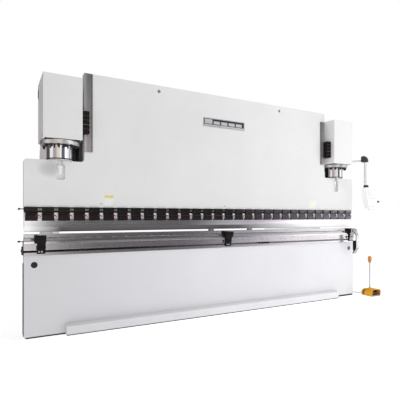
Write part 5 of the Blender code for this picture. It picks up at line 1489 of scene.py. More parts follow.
piece("pump_suction", sweep([(PUMP_X, MOTOR_Y, MOTOR_Z - 0.068), (PUMP_X, MOTOR_Y, 3.2505)],
                            circle(0.024, 28)), "pipe", angle=35)
piece("pump_suction_flange", lathe([
    (0, TANK_TOP), (0.052, TANK_TOP), (0.052, 3.26), (0.05, 3.262), (0.026, 3.262), (0, 3.262)],
    (PUMP_X, MOTOR_Y, 0), UP, 40), "zinc")
piece("pressure_hose", sweep(smooth_path([
    (PUMP_X, 0.836, 3.425), (PUMP_X, 0.785, 3.415), (0.42, 0.745, 3.34), (0.1, 0.73, 3.315),
    (-0.25, 0.75, 3.31), (-0.42, 0.81, 3.32), (-0.485, 0.89, 3.335), (-0.5365, 0.895, 3.335)],
    per=8), circle(0.0135, 16)), "rubber", angle=35)

# ============================================================ valve block
VALVE_Y = 0.95
BLOCK_TOP = 3.42
piece("manifold", slab(-0.9, -0.55, 0.84, 1.06, TANK_TOP, BLOCK_TOP, 0.004), "zinc",
      bevel=0.003, cad=("valve_block", "cylinder_steel"))
for i, x in enumerate((-0.82, -0.63)):
    piece(f"valve_body_{i}", slab(x - 0.04, x + 0.04, 0.88, 1.02, 3.4203, 3.472, 0.005), "cyl",
          bevel=0.002)
    ends, coils = [], []
    for out in (-1, 1):
        place = (x, VALVE_Y + out * 0.07, 3.446)
        ends.append(rod(0.0215, place, (0, out, 0), 0.0003, 0.02, 32, 0.001))
        ends.append(rod(0.009, place, (0, out, 0), 0.072, 0.08, 20, 0.001))
        y0, y1 = span(VALVE_Y + out * 0.0905, VALVE_Y + out * 0.142)
        coils.append(slab(x - 0.026, x + 0.026, y0, y1, 3.421, 3.474, 0.008, "Y"))
        coils.append(slab(x - 0.014, x + 0.014, y0 + 0.01, y1 - 0.008, 3.4743, 3.506, 0.004))
    piece(f"valve_ends_{i}", ends, "zinc", angle=35)
    piece(f"valve_coils_{i}", coils, "coil", bevel=0.0015)
    piece(f"valve_screws_{i}", [
        cap_screw((x + dx, VALVE_Y + dy, 3.472), UP, 0.0055, 0.005, 18)
        for dx in (-0.028, 0.028) for dy in (-0.045, 0.045)], "bolt", angle=35)
    piece(f"valve_cartridge_{i}", [
        rod(0.029, (x, VALVE_Y, 3.4722), UP, 0, 0.03, 36, 0.002),
        rod(0.02, (x, VALVE_Y, 3.5024), UP, 0, 0.045, 32, 0.002)], "zinc", angle=30)
piece("manifold_plugs", [hex_bolt(place, normal, 0.026, 0.01) for place, normal in (
    ((-0.725, 0.84, 3.3), FRONT), ((-0.82, 0.84, 3.37), FRONT), ((-0.63, 0.84, 3.37), FRONT),
    ((-0.725, 1.06, 3.3), BACK), ((-0.82, 1.06, 3.36), BACK))], "bolt", bevel=0.0005)
GAUGE = (-0.725, 0.812, 3.452)
piece("pressure_gauge", [
    lathe([(0, 0), (0.03, 0), (0.0325, 0.002), (0.0325, 0.02), (0.03, 0.023), (0.028, 0.02),
           (0, 0.02)], GAUGE, FRONT, 48),
    sweep(fillet_path([(-0.725, 0.845, 3.4105), (-0.725, 0.845, 3.452), (-0.725, 0.8125, 3.452)],
                      0.008), circle(0.0062, 16))], "zinc", angle=30)
piece("gauge_dial", rod(0.0275, GAUGE, FRONT, 0.0202, 0.0206, 40), "label_w")
piece("gauge_needle", box(-0.7258, -0.7242, 0.7908, 0.7914, 3.452, 3.474), "bolt")

# ============================================================ pressure pipes
# side: (centre line from the block to the cylinder, x of the clamps, y of the clamps)
PIPES = {
    "left": ([(-0.9003, 0.95, 3.34), (-2.2, 0.95, 3.34), (-2.36, 0.95, 3.37), (-2.4, 0.5, 3.37),
              (-PORT_X, PORT_Y, 3.37), (-PORT_X, PORT_Y, 3.3403)], (-1.3, -2.12), 0.95),
    "right": ([(-0.5497, 0.95, 3.34), (-0.42, 0.95, 3.34), (-0.42, 0.72, 3.34), (2.2, 0.72, 3.34),
               (2.36, 0.7, 3.37), (2.4, 0.5, 3.37), (PORT_X, PORT_Y, 3.37),
               (PORT_X, PORT_Y, 3.3403)], (0.6, 1.3, 2.0), 0.72),
}
for side, sign in SIDES:
    route, clamps, y = PIPES[side]
    piece("pipe_" + side, sweep(fillet_path(route, 0.045, 6), circle(0.016, 24)), "pipe",
          cad=("pressure_pipe_" + side, "bright_steel"), angle=40)
    start = route[0][0]
    piece("pipe_nut_" + side, [
        hex_bolt((start + sign * shift, 0.95, 3.34), (sign, 0, 0), flats, height, washer=False)
        for shift, flats, height in ((0.0005, 0.042, 0.02), (0.0215, 0.036, 0.016))],
        "zinc", bevel=0.0008)
    piece("pipe_clamps_" + side, [
        slab(x - 0.014, x + 0.014, y - 0.034, y + 0.034, TANK_TOP, 3.366, 0.008, "X")
        for x in clamps], "grip", bevel=0.0015)

# ============================================================ electrical cabinet: door
for z in (0.78, 1.25, 1.72):
    number = int(z * 100)
    piece(f"hinge_knuckle_{number}", rod(0.0065, (2.953, 1.5605, z), UP, 0.004, 0.034, 20, 0.0008),
          "zinc", "cabinet_door", angle=35)
    piece(f"hinge_pin_{number}", [
        rod(0.0046, (2.953, 1.558, z), UP, -0.032, 0.002, 20, 0.0008),
        box(2.9, 2.9405, 1.5508, 1.556, z - 0.03, z + 0.001),
        box(2.9403, 2.953, 1.5537, 1.556, z - 0.03, z + 0.001)], "zinc", angle=35)
piece("cabinet_gasket", [box(2.94, 2.9418, *sides) for sides in (
    (0.756, 0.764, 0.607, 1.893), (1.536, 1.544, 0.607, 1.893),
    (0.7645, 1.5355, 0.607, 0.615), (0.7645, 1.5355, 1.885, 1.893))], "rubber")
piece("door_louvres", [
    prism([(2.9642, z), (2.97, z - 0.002), (2.9712, z + 0.001), (2.9642, z + 0.012)],
          "Y", 0.99, 1.31) if False else
    prism([(2.9642, 0.99)], "Z", z, z) for z in ()] or [
    around for around in (
        prism([(2.9642, z), (2.97, z - 0.002), (2.9712, z + 0.001), (2.9642, z + 0.012)],
              "Y", 0.99, 1.31) for z in [0.7 + 0.022 * k for k in range(9)])],
    "cabinet", "cabinet_door", bevel=0.0004)
piece("door_latch", tagged([
    (slab(2.9642, 2.97, 0.788, 0.824, 1.19, 1.33, 0.012, "X"), 0),
    (slab(2.9702, 2.986, 0.797, 0.815, 1.205, 1.29, 0.008, "X"), 1),
    (rod(0.0075, (2.97, 0.806, 1.31), RIGHT, 0.0002, 0.0035, 24, 0.0006), 2)]),
    ["grip", "grip", "zinc"], "cabinet_door", bevel=0.0015)
piece("door_corner_screws", [
    lathe([(0, -0.001), (0.006, -0.001), (0.0056, 0.0012), (0.003, 0.0024), (0, 0.0026)],
          (DOOR_FACE, y, z), RIGHT, 20) for y in (0.772, 1.532) for z in (0.622, 1.878)],
    "zinc", "cabinet_door")
piece("door_tag", slab(2.9641, 2.965, 1.1, 1.24, 1.7, 1.76, 0.006, "X"), "rim", "cabinet_door")
# main switch: yellow backing plate on the door, red knob on top
piece("switch_plate", slab(2.9641, 2.9644, 0.825, 0.915, 1.575, 1.665, 0.008, "X"), "label_y",
      "cabinet_door")
piece("switch_knob", [
    lathe([(0, 0.0004), (0.0315, 0.0004), (0.032, 0.0012), (0.032, 0.0085), (0.03, 0.0103),
           (0, 0.0103)], (DOOR_FACE, 0.87, 1.62), RIGHT, 56),
    slab(2.9744, 2.997, 0.862, 0.878, 1.5925, 1.6475, 0.007, "X")],
    "red", "main_switch", bevel=0.0012, cad=("main_switch", "stop_red"), angle=30)
piece("switch_pointer", slab(2.9971, 2.9976, 0.868, 0.872, 1.625, 1.644, 0.001, "X"), "label_w",
      "main_switch")

# ============================================================ electrical cabinet: inside
piece("cabinet_backplate", slab(2.606, 2.609, 0.78, 1.52, 0.64, 1.86, 0.006, "X"), "zinc",
      bevel=0.0004)
DUCT_WIDTH = 0.045
DUCT_LEVELS = (1.805, 1.44, 1.08, 0.65)      # lower edges of the ducts that lie level
ducts = [slab(2.6092, 2.67, y, y + 0.04, 0.65, 1.85, 0.002, "X") for y in (0.79, 1.47)]
ducts += [slab(2.6092, 2.67, 0.831, 1.469, z, z + DUCT_WIDTH, 0.002, "X") for z in DUCT_LEVELS]
piece("cabinet_ducts", ducts, "key", bevel=0.001)
slots = []
for low in DUCT_LEVELS:
    high = low + DUCT_WIDTH
    for k in range(42):
        y = 0.838 + 0.015 * k
        slots.append(box(2.625, 2.669, y, y + 0.004, low - 0.0006, low - 0.0001))
        slots.append(box(2.625, 2.669, y, y + 0.004, high + 0.0001, high + 0.0006))
piece("cabinet_duct_slots", slots, "grip")
piece("cabinet_rails", [box(2.6092, 2.616, 0.845, 1.455, z - 0.0175, z + 0.0175)
                        for z in (1.64, 1.28, 0.9)], "zinc", bevel=0.0006)
devices, faces, toggles = [], [], []
# upper rail: breakers with a raised face and a toggle
y = 0.86
for width in (0.018, 0.018, 0.018, 0.036, 0.036, 0.018, 0.018, 0.054, 0.054, 0.045, 0.045, 0.045):
    devices.append(slab(2.6165, 2.675, y, y + width - 0.001, 1.596, 1.684, 0.003, "X"))
    faces.append(slab(2.6752, 2.689, y + 0.002, y + width - 0.003, 1.618, 1.662, 0.002, "X"))
    toggles.append(slab(2.6892, 2.695, y + width / 2 - 0.004, y + width / 2 + 0.003, 1.634, 1.65,
                        0.001, "X"))
    y += width + 0.001
# middle rail: contactors, the wide ones deeper
y = 0.86
for width in (0.09, 0.045, 0.045, 0.07, 0.07, 0.045, 0.045, 0.09):
    front = 2.7 if width > 0.06 else 2.685
    devices.append(slab(2.6165, front, y, y + width - 0.002, 1.225, 1.335, 0.003, "X"))
    toggles.append(slab(front + 0.0002, front + 0.002, y + 0.006, y + width - 0.008, 1.25, 1.29,
                        0.001, "X"))
    y += width + 0.002
piece("cabinet_devices", devices, "key", bevel=0.0008)
piece("cabinet_device_faces", faces, "label_w", bevel=0.0006)
piece("cabinet_device_levers", toggles, "grip", bevel=0.0004)
terminals = []
for k in range(60):
    y = 0.86 + 0.0097 * k
    colour = 1 if k % 12 in (3, 4) else (2 if k % 20 == 7 else 0)
    terminals.append((slab(2.6165, 2.66, y, y + 0.009, 0.87, 0.93, 0.002, "X"), colour))
piece("cabinet_terminals", tagged(terminals), ["key", "label_y", "passivated"])
wires = []
for k in range(14):
    y = 0.878 + 0.04 * k
    wires.append(sweep(fillet_path([(2.64, y, 1.5955), (2.64, y, 1.56), (2.655, y + 0.004, 1.52),
                                    (2.655, y + 0.004, 1.486)], 0.012), circle(0.0022, 8)))
piece("cabinet_wires", wires, "cable", angle=45)
# cable gland below for the foot switch, conduit and gland on top
GLAND = (2.85, 0.95, 0.5999)
piece("cabinet_gland", [
    hex_bolt(GLAND, DOWN, 0.03, 0.01, washer=False),
    lathe([(0.0075, 0.0102), (0.0135, 0.0102), (0.0125, 0.022), (0.01, 0.026),
           (0.0075, 0.026)], GLAND, DOWN, 28)], "grip", angle=35)
piece("cabinet_conduit", sweep(fillet_path([
    (2.77, 1.2, 1.9003), (2.77, 1.2, 2.05), (2.66, 1.2, 2.2), (2.66, 1.2, 3.1),
    (2.66, 1.05, 3.42), (2.45, 0.98, 3.47), (0.9, 1.2, 3.3), (0.3, 1.16, 3.34),
    (0.16, 1.075, 3.57)], 0.1, 8), circle(0.016, 16)), "rubber", angle=35)
CONDUIT_FOOT = (2.77, 1.2, 1.9002)
piece("conduit_gland", [
    hex_bolt(CONDUIT_FOOT, UP, 0.044, 0.014, washer=False),
    lathe([(0.0165, 0.0142), (0.022, 0.0142), (0.0205, 0.036), (0.0165, 0.038)],
          CONDUIT_FOOT, UP, 32)], "grip", angle=35)
piece("conduit_clips", [slab(2.6003, 2.684, 1.176, 1.224, z - 0.01, z + 0.01, 0.004)
                        for z in (2.35, 2.65, 2.95)], "zinc", bevel=0.001)
piece("cabinet_brackets", [slab(2.6003, 2.935, y - 0.02, y + 0.02, z, z + 0.006, 0.003)
                           for y in (0.86, 1.44) for z in (0.593, 1.9004)], "zinc", bevel=0.001)

# ============================================================ back gauge
SCREW_X, SCREW_Z = 2.3, 1.06
THREAD_LEAD, THREAD_START, THREAD_END, THREAD_STEPS = 0.0125, 0.352, 1.572, 14
# thread section (radius, shift along the screw)
THREAD_SECTION = ((0.013, -0.0044), (0.0158, -0.003), (0.0158, 0.003), (0.013, 0.0044))


def screw_thread(x):
    thread = bmesh.new()
    rows = []
    for i in range(int((THREAD_END - THREAD_START) / THREAD_LEAD * THREAD_STEPS) + 1):
        angle = 2 * pi * i / THREAD_STEPS
        y = THREAD_START + THREAD_LEAD * i / THREAD_STEPS
        rows.append([thread.verts.new((x + r * cos(angle), y + shift, SCREW_Z + r * sin(angle)))
                     for r, shift in THREAD_SECTION])
    return skin(thread, rows)


for side, sign in SIDES:
    x = sign * SCREW_X
    axis = (x, 0, SCREW_Z)
    core = lathe([
        (0, 0.285), (0.0105, 0.285), (0.0118, 0.287), (0.0118, 0.345), (0.0135, 0.346),
        (0.0135, 1.578), (0.0118, 1.579), (0.0118, 1.633), (0.0105, 1.635), (0, 1.635)],
        axis, BACK, 32)
    screw = "screw_" + side
    piece("ballscrew_" + side, [core, screw_thread(x)], "bright", screw,
          cad=("backgauge_screw_" + side, "bright_steel"), angle=35)
    piece("screw_lock_nut_" + side, ring(0.0119, 0.015, (x, 1.6185, SCREW_Z), BACK, 0, 0.01, 24),
          "bolt", screw)
    piece("bearing_bolts_" + side, [
        cap_screw((sign * 2.3215 + dx, y, SCREW_Z + dz), (0, out, 0), 0.0085, 0.008)
        for y, out in ((0.302, -1), (1.618, 1)) for dx in (-0.046, 0.046)
        for dz in (-0.048, -0.002)], "bolt", angle=35)
    # linear guide's end stops and screws
    rail = sign * 2.44
    piece("rail_stops_" + side, [
        slab(rail - 0.022, rail + 0.022, y - 0.01, y + 0.01, 0.9803, 1.02, 0.003, "Y")
        for y in (0.33, 1.59)], "rubber", bevel=0.001)
    piece("rail_screws_" + side, [
        flat_screw((sign * 2.49, 0.4 + 0.115 * k, 0.98), UP, 0.0065, 0.0034, steps=18)
        for k in range(11)], "bolt")
    # carriage end: cap plate, nut flange, screws and wipers
    piece("beam_end_plate_" + side,
          slab(*span(sign * 2.3405, sign * 2.344), 0.842, 0.958, 1.064, 1.148, 0.008, "X"),
          "zinc", "backgauge", bevel=0.0006)
    piece("beam_end_screws_" + side, [
        cap_screw((sign * 2.344, y, z), (sign, 0, 0), 0.0065, 0.006, 18)
        for y in (0.856, 0.944) for z in (1.078, 1.136)], "bolt", "backgauge", angle=35)
    piece("ball_nut_" + side, lathe([
        (0.019, 0), (0.03, 0), (0.031, 0.001), (0.031, 0.01), (0.03, 0.011), (0.019, 0.011)],
        (x, 0.8395, SCREW_Z), FRONT, 40), "bright", "backgauge", angle=30)
    piece("carriage_screws_" + side, [
        cap_screw((sign * 2.405 + dx, BEAM_Y + dy, 1.06), UP, 0.008, 0.008)
        for dx in (-0.04, 0.04) for dy in (-0.075, 0.075)], "bolt", "backgauge", angle=35)
    piece("carriage_wipers_" + side, [
        slab(rail - 0.036, rail + 0.036, y, y + 0.006, 0.9806, 1.05, 0.003, "Y")
        for y in (0.7936, 1.0004)], "rubber", "backgauge", bevel=0.0006)
piece("beam_front_scale", box(-2.3, 2.3, 0.8393, 0.8399, 1.128, 1.142), "rim", "backgauge")
piece("beam_screws", [
    flat_screw((-2.2 + 0.2 * k, 0.8399, 1.04), FRONT, 0.006, 0.003, steps=18)
    for k in range(23)], "bolt", "backgauge")
for side, x in (("left", 0.02), ("right", 0.84)):
    finger = "finger_" + side
    piece("finger_tip_" + side, [
        slab(x - 0.046, x + 0.046, 0.397, 0.3997, 1.262, 1.344, 0.004, "Y"),
        slab(x - 0.03, x + 0.03, 0.394, 0.3968, 1.3, 1.342, 0.003, "Y")],
        "bright", finger, bevel=0.0006)
    piece("finger_tip_screws_" + side, [
        cap_screw((x + dx, 0.397, 1.278), FRONT, 0.0055, 0.004, 18) for dx in (-0.03, 0.03)],
        "bolt", finger, angle=35)
    knob_y, knob_z = BEAM_Y - 0.03, 1.18
    knob = lathe([
        (0, 0), (0.008, 0), (0.008, 0.012), (0.022, 0.014), (0.025, 0.02), (0.025, 0.032),
        (0.022, 0.037), (0, 0.039)], (x + 0.055, knob_y, knob_z), RIGHT, 36)
    piece("finger_knob_" + side, flute(knob, axes=(1, 2), centre=(knob_y, knob_z), beyond=0.021,
                                       depth=0.07, count=9), "grip", finger, angle=35)
    piece("finger_bar_scale_" + side, box(x + 0.03, x + 0.0306, 0.46, 0.79, 1.236, 1.254), "rim",
          finger, bevel=0.0001)
    piece("finger_saddle_screws_" + side, [
        cap_screw((x + dx, BEAM_Y - 0.1, z), FRONT, 0.0075, 0.007)
        for dx in (-0.038, 0.038) for z in (1.085, 1.19)], "bolt", finger, angle=35)
    piece("finger_saddle_plate_" + side,
          slab(x - 0.048, x + 0.048, BEAM_Y + 0.0752, BEAM_Y + 0.079, 1.1, 1.2, 0.008, "Y"),
          "zinc", finger, bevel=0.0006)

# ============================================================ pendant: arm
ARM_Z = 2.66
PIVOT = Vector((2.77, 0.56, 0))
ELBOW = Vector((3.11, -0.31, 0))
PIVOT_AXIS, ELBOW_AXIS = tuple(PIVOT), tuple(ELBOW)
arm_dir = (ELBOW - PIVOT).normalized()
lift = Vector((0, 0, ARM_Z + 0.012))          # height of the tube's centre line
piece("arm_tube", [
    sweep([PIVOT + lift + arm_dir * 0.03, ELBOW + lift - arm_dir * 0.03], circle(0.0175, 28)),
    lathe([(0, ARM_Z - 0.0198), (0.043, ARM_Z - 0.0198), (0.045, ARM_Z - 0.018),
           (0.045, ARM_Z + 0.04), (0.041, ARM_Z + 0.045), (0, ARM_Z + 0.046)],
          PIVOT_AXIS, UP, 48)],
    "cover", "pendant_arm", cad=("pendant_arm", "cover_paint"), angle=30)
piece("arm_collars", [
    lathe([(0.0178, 0.044), (0.0235, 0.044), (0.0245, 0.046), (0.0245, 0.07),
           (0.0235, 0.072), (0.0178, 0.072)], tuple(end + lift), tuple(toward), 36)
    for end, toward in ((PIVOT, arm_dir), (ELBOW, -arm_dir))], "grip", "pendant_arm", angle=35)
# black hood over the joint between the arm and the drop tube: (distance along the arm, z)
ELBOW_SIDE = (
    (-0.086, 2.64), (-0.086, 2.732), (-0.08, 2.746), (-0.066, 2.755), (-0.024, 2.756),
    (-0.006, 2.745), (0.016, 2.724), (0.031, 2.698), (0.036, 2.668), (0.036, 2.6305),
    (-0.04, 2.6305), (-0.05, 2.64))
across = Vector((-arm_dir.y, arm_dir.x, 0.0))
hood = bmesh.new()
layers = []
for offset, shrink in ((-0.04, 0.9), (-0.034, 1.0), (0.034, 1.0), (0.04, 0.9)):
    layers.append([
        hood.verts.new(ELBOW + arm_dir * (-0.02 + (along + 0.02) * shrink) + across * offset
                       + Vector((0, 0, 2.69 + (z - 2.69) * (shrink if z > 2.65 else 1.0))))
        for along, z in ELBOW_SIDE])
piece("elbow", skin(hood, layers), "grip", "pendant_arm", bevel=0.002, angle=40)
piece("arm_pivot_screws", hex_bolt((PIVOT.x, PIVOT.y, ARM_Z + 0.046), UP, 0.03, 0.012), "zinc",
      "pendant_arm", bevel=0.0005)

# bracket on the frame: plate, arm and bearing
piece("bracket", [
    slab(2.6003, 2.609, 0.47, 0.65, 2.515, 2.645, 0.012, "X"),
    slab(2.6092, 2.745, 0.515, 0.605, 2.535, 2.625, 0.012, "X"),
    lathe([(0, 2.52), (0.043, 2.52), (0.045, 2.522), (0.045, 2.637), (0.043, 2.639),
           (0, 2.639)], PIVOT_AXIS, UP, 48)],
    "cover", bevel=0.002, cad=("pendant_bracket", "cover_paint"), angle=30)
piece("bracket_bolts", [hex_bolt((2.609, y, z), RIGHT, 0.017, 0.008)
                        for y in (0.488, 0.632) for z in (2.535, 2.625)], "zinc", bevel=0.0004)

# ============================================================ pendant: panel
PANEL_Y = -0.31               # the drop tube's y
PANEL_TOP, PANEL_LOW = 2.135, 1.722
PANEL_LEAN = 0.075            # the front's lower edge lies this much further forward
panel_height = PANEL_TOP - PANEL_LOW
front_top = PANEL_Y - 0.045
front_low = front_top - PANEL_LEAN
rear = PANEL_Y + 0.055
piece("panel_housing", prism([
    (front_top, 2.128), (front_top + 0.006, PANEL_TOP), (rear - 0.008, PANEL_TOP), (rear, 2.127),
    (rear, 1.936), (rear - 0.003, 1.926), (PANEL_Y - 0.012, 1.729), (PANEL_Y - 0.02, PANEL_LOW),
    (front_low + 0.006, PANEL_LOW), (front_low - 0.001, 1.728)], "X", 3.055, 3.395),
    "panel", "pendant_panel", bevel=0.006, segments=3,
    cad=("pendant_panel", "panel_plastic"), angle=30)
piece("drop_tube", lathe([
    (0, 2.165), (0.0365, 2.165), (0.038, 2.168), (0.038, ARM_Z - 0.033),
    (0.0365, ARM_Z - 0.0305), (0, ARM_Z - 0.0305)], ELBOW_AXIS, UP, 56),
    "tube_paint", "pendant_panel", angle=30)
piece("panel_joint", lathe([
    (0, 2.1355), (0.044, 2.1355), (0.047, 2.139), (0.047, 2.16), (0.041, 2.176),
    (0.0384, 2.182), (0, 2.182)], ELBOW_AXIS, UP, 48), "grip", "pendant_panel", angle=35)

front_normal = Vector((0, -panel_height, PANEL_LEAN)).normalized()


def on_front(x, z, lift=0.0):
    """Point on the leaning front, lifted off it along its normal."""
    y = front_top - PANEL_LEAN * (PANEL_TOP - z) / panel_height
    return Vector((x, y, z)) + front_normal * lift


def front_plate(x0, x1, z0, z1, lift, thick, radius):
    """A thin rounded plate lying on the leaning front."""
    points = rounded_rect(x0, x1, z0, z1, radius)
    plate = bmesh.new()
    low = [plate.verts.new(on_front(x, z, lift)) for x, z in points]
    high = [plate.verts.new(on_front(x, z, lift + thick)) for x, z in points]
    plate.faces.new(low)
    plate.faces.new(high[::-1])
    for i in range(len(points)):
        j = (i + 1) % len(points)
        plate.faces.new((low[i], low[j], high[j], high[i]))
    return plate


piece("panel_bezel", front_plate(3.075, 3.375, 1.9, 2.115, 0.0003, 0.003, 0.01), "bezel",
      "pendant_panel", bevel=0.001)
piece("panel_screen", front_plate(3.096, 3.354, 1.926, 2.1, 0.0035, 0.001, 0.004), "screen",
      "pendant_panel", bevel=0.0003)
# plain blocks and lines on the screen: (x0, x1, z0, z1, corner radius)
blocks = [(3.104, 3.346, 2.084, 2.094, 0.001)]
blocks += [(3.104, 3.2, 1.975 + 0.022 * k, 1.989 + 0.022 * k, 0.001) for k in range(5)]
blocks += [(3.104 + 0.04 * k, 3.136 + 0.04 * k, 1.934, 1.96, 0.002) for k in range(6)]
blocks += [(3.22, 3.34, 2.0, 2.006, 0.001), (3.276, 3.282, 2.006, 2.07, 0.001)]
piece("screen_blocks", [front_plate(*edges, 0.0046, 0.0003, radius) for *edges, radius in blocks],
      "screen_ink", "pendant_panel")
piece("panel_keys", [
    front_plate(3.08 + 0.034 * i, 3.106 + 0.034 * i, 1.79 + 0.03 * j, 1.812 + 0.03 * j,
                0.0003, 0.0024, 0.004) for i in range(5) for j in range(3)],
    "panel_key", "pendant_panel", bevel=0.0008)
buttons = []
for i in range(3):
    place = tuple(on_front(3.09 + 0.045 * i, 1.757))
    buttons.append((lathe([(0, 0.0002), (0.0125, 0.0002), (0.0125, 0.0022), (0.01, 0.0034),
                           (0, 0.0034)], place, front_normal, 28), 0))
    buttons.append((lathe([(0, 0.0036), (0.0088, 0.0036), (0.0088, 0.0095), (0.007, 0.011),
                           (0, 0.0115)], place, front_normal, 28), 1 + i))
piece("panel_buttons", tagged(buttons), ["rim", "passivated", "label_w", "key"],
      "pendant_panel", angle=35)
# stop button
stop_place = tuple(on_front(3.33, 1.855))
piece("stop_collar", lathe([
    (0.0135, 0.0003), (0.027, 0.0003), (0.027, 0.002), (0.025, 0.0034), (0.0135, 0.0034)],
    stop_place, front_normal, 40), "key", "pendant_panel", angle=35)
piece("stop_mushroom", lathe([
    (0, -0.0175), (0.0108, -0.0175), (0.0108, 0.0135), (0.018, 0.015), (0.0205, 0.0165),
    (0.022, 0.0195), (0.022, 0.0245), (0.02, 0.0285), (0.015, 0.0315), (0.008, 0.0328),
    (0, 0.033)], stop_place, front_normal, 48),
    "stop_dark", "pendant_button", cad=("pendant_stop_button", "stop_red"), angle=40)
# handle bar under the housing, and the rear lid with its screws
piece("panel_handle", sweep(fillet_path([
    (3.075, front_low + 0.04, 1.7205), (3.075, front_low + 0.02, 1.7),
    (3.375, front_low + 0.02, 1.7), (3.375, front_low + 0.04, 1.7205)], 0.012),
    circle(0.0065, 16)), "bezel", "pendant_panel", angle=40)
piece("panel_rear_lid", slab(3.075, 3.375, rear + 0.0002, rear + 0.003, 1.955, 2.115, 0.012, "Y"),
      "panel", "pendant_panel", bevel=0.001)
piece("panel_lid_screws", [cap_screw((x, rear + 0.003, z), BACK, 0.0048, 0.003, 18)
                           for x in (3.088, 3.362) for z in (1.968, 2.102)],
      "bolt", "pendant_panel", angle=35)

# the pendant and the front supports cast no shadow
SHADOWLESS = ("panel_housing", "panel_bezel", "panel_screen", "drop_tube", "panel_rear_lid",
              "elbow", "arm_tube")
for thing in bpy.data.objects:
    if (thing.name in SHADOWLESS
            or thing.name.startswith(("support_", "stop_", "slider_", "arm_"))):
        thing.visible_shadow = False

# ============================================================ foot switch
# built with its toe opening toward local +X, then turned to face the front
FOOT_PLACE = Matrix.Translation((3.285, -0.243, 0)) @ Matrix.Rotation(radians(-90), 4, "Z")
BASE_TOP = 0.0195


def foot_piece(name, shape, *args, **options):
    if isinstance(shape, list):
        shape = join(shape)
    bmesh.ops.transform(shape, matrix=FOOT_PLACE, verts=shape.verts)
    piece(name, shape, *args, **options)


def hood_point(u, v, inset=0.0):
    """Point of the hood: u from the toe opening (0) to the nose (1); v across the arch 0..1."""
    narrowing = max(0.0, (u - 0.34) / 0.66) ** 2.3
    half = 0.126 * (1.0 - 0.10 * u) * math.sqrt(max(0.0, 1.0 - narrowing)) - inset
    half = max(half, 0.010)
    top = 0.1365 * math.sqrt(1.0 - max(0.0, (u - 0.42) / 0.63) ** 2.4) - inset
    # super-ellipse section standing just above the floor
    power, base = 0.42, 0.004
    across, up = cos(pi * v), sin(pi * v)
    y = half * math.copysign(abs(across) ** power, across)
    z = base + (top - base) * abs(up) ** power
    # the opening leans: its upper edge lies ahead of the sill
    lean = 0.10 * z * max(0.0, 1.0 - u / 0.42)
    return Vector((0.165 - 0.328 * u + lean, y, z))


def foot_hood():
    """Outer skin to the nose, inner skin part of the way, and the webs that close them."""
    along, arch, depth = 22, 26, 15
    shell = bmesh.new()
    outer = [[shell.verts.new(hood_point(i / along, j / arch)) for j in range(arch + 1)]
             for i in range(along + 1)]
    inner = [[shell.verts.new(hood_point(i / along, j / arch, 0.0065)) for j in range(arch + 1)]
             for i in range(depth + 1)]
    for i in range(along):
        for j in range(arch):
            shell.faces.new((outer[i][j], outer[i + 1][j], outer[i + 1][j + 1], outer[i][j + 1]))
    for i in range(depth):
        for j in range(arch):
            shell.faces.new((inner[i][j], inner[i][j + 1], inner[i + 1][j + 1], inner[i + 1][j]))
    for j in range(arch):
        shell.faces.new((outer[0][j], outer[0][j + 1], inner[0][j + 1], inner[0][j]))
    shell.faces.new(outer[along])
    shell.faces.new(inner[depth][::-1])
    for j in (0, arch):
        for i in range(depth):
            shell.faces.new((outer[i][j], inner[i][j], inner[i + 1][j], outer[i + 1][j]))
    # underside between the last inner ring and the nose
    shell.faces.new([outer[i][0] for i in range(depth, along + 1)]
                    + [outer[i][arch] for i in range(along, depth - 1, -1)]
                    + [inner[depth][arch], inner[depth][0]])
    return shell


foot_piece("foot_hood", foot_hood(), "yellow", cad=("foot_switch_body", "switch_yellow"), angle=50)
# one flank of the base plate (x, half width); the other mirrors it
BASE_FLANK = ((0.01, 0.118), (-0.05, 0.109), (-0.1, 0.09), (-0.138, 0.056), (-0.156, 0.016))
base_outline = [(0.166, -0.121), (0.166, 0.121), *BASE_FLANK]
base_outline += [(x, -half) for x, half in BASE_FLANK[::-1]]
foot_piece("foot_base", prism(base_outline, "Z", 0, 0.019), "base_grey", bevel=0.0025)
foot_piece("foot_liner", box_liner := prism([
    (-0.064, BASE_TOP), (-0.056, BASE_TOP), (-0.056, 0.095), (-0.064, 0.095)],
    "Y", -0.088, 0.088), "dark_in", bevel=0.0015)
cheeks = [box(-0.052, 0.092, y - 0.0012, y + 0.0012, BASE_TOP, 0.1) for y in (-0.1115, 0.1115)]
cheeks.append(prism([(-0.05, 0.1175), (0.07, 0.1235), (0.07, 0.1245), (-0.05, 0.119)],
                    "Y", -0.104, 0.104))
foot_piece("foot_lining", cheeks, "dark_in")
foot_piece("foot_sill", box(0.15, 0.16, -0.11, 0.11, 0.0193, 0.025), "base_grey", bevel=0.0015)
# treadle: sloping plate with ribs across it
treadle = [prism([(-0.0445, 0.0365), (0.1415, 0.0545), (0.1415, 0.0655), (0.133, 0.0672),
                  (-0.0445, 0.05)], "Y", -0.0915, 0.0915)]
for k in range(9):
    x = 0.125 - 0.0165 * k
    z = 0.05 + (0.0672 - 0.05) * (x + 0.0445) / 0.1775
    treadle.append(prism([(x - 0.0045, z - 0.0012), (x + 0.0045, z - 0.0003),
                          (x + 0.0032, z + 0.0028), (x - 0.0032, z + 0.0024)],
                         "Y", -0.084, 0.084))
foot_piece("treadle_plate", treadle, "treadle", "treadle", bevel=0.0008,
           cad=("foot_treadle", "plug_black"))
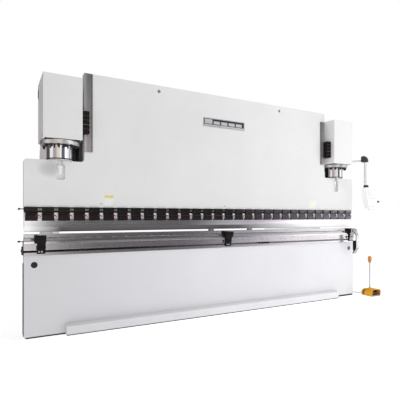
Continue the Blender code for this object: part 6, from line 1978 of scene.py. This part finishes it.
# pole with its clamp, cup and stop button
POLE = (0.027, -0.015, 0)
foot_piece("foot_pole", rod(0.0135, POLE, UP, 0.129, 0.6405, 28), "pole", angle=30)
foot_piece("foot_pole_clamp", lathe([
    (0.0137, 0.134), (0.03, 0.134), (0.03, 0.14), (0.021, 0.148), (0.0185, 0.16),
    (0.0137, 0.16)], POLE, UP, 36), "yellow", angle=30)
foot_piece("foot_stop_cup", lathe([
    (0.0112, 0.64), (0.015, 0.64), (0.019, 0.65), (0.0262, 0.664), (0.034, 0.683),
    (0.0385, 0.695), (0.0392, 0.708), (0.0375, 0.7119), (0.0135, 0.7119), (0.0135, 0.68),
    (0.0112, 0.672)], POLE, UP, 48), "cup", angle=40)
foot_piece("foot_mushroom", lathe([
    (0, 0.6845), (0.0108, 0.6845), (0.0108, 0.7222), (0.032, 0.7222), (0.036, 0.725),
    (0.038, 0.73), (0.038, 0.75), (0.036, 0.76), (0.03, 0.77), (0.018, 0.7755), (0, 0.7768)],
    POLE, UP, 48), "orange", "foot_button", cad=("foot_stop_button", "stop_orange"), angle=40)
# cable on the floor from the nose to the cabinet, with a strain relief
CABLE = (
    (3.285, -0.0775, 0.03), (3.279, -0.05, 0.022), (3.262, 0, 0.0105), (3.235, 0.06, 0.0085),
    (3.19, 0.15, 0.0085), (3.14, 0.24, 0.0085), (3.09, 0.36, 0.0085), (3.04, 0.48, 0.0085),
    (2.97, 0.7, 0.0085), (2.905, 0.86, 0.02), (2.865, 0.93, 0.085), (2.851, 0.949, 0.2),
    (2.85, 0.95, 0.4), (2.85, 0.95, 0.574))
piece("foot_cable", sweep(smooth_path(CABLE, per=6), circle(0.0068, 14)), "cable",
      cad=("foot_switch_cable", "plug_black"), angle=40)
piece("foot_strain_relief", lathe([
    (0.007, -0.006), (0.0125, -0.006), (0.0125, 0.004), (0.01, 0.01), (0.009, 0.024),
    (0.007, 0.024)], (3.2845, -0.079, 0.03), (-0.10, 1.0, -0.30), 24), "rubber", angle=35)
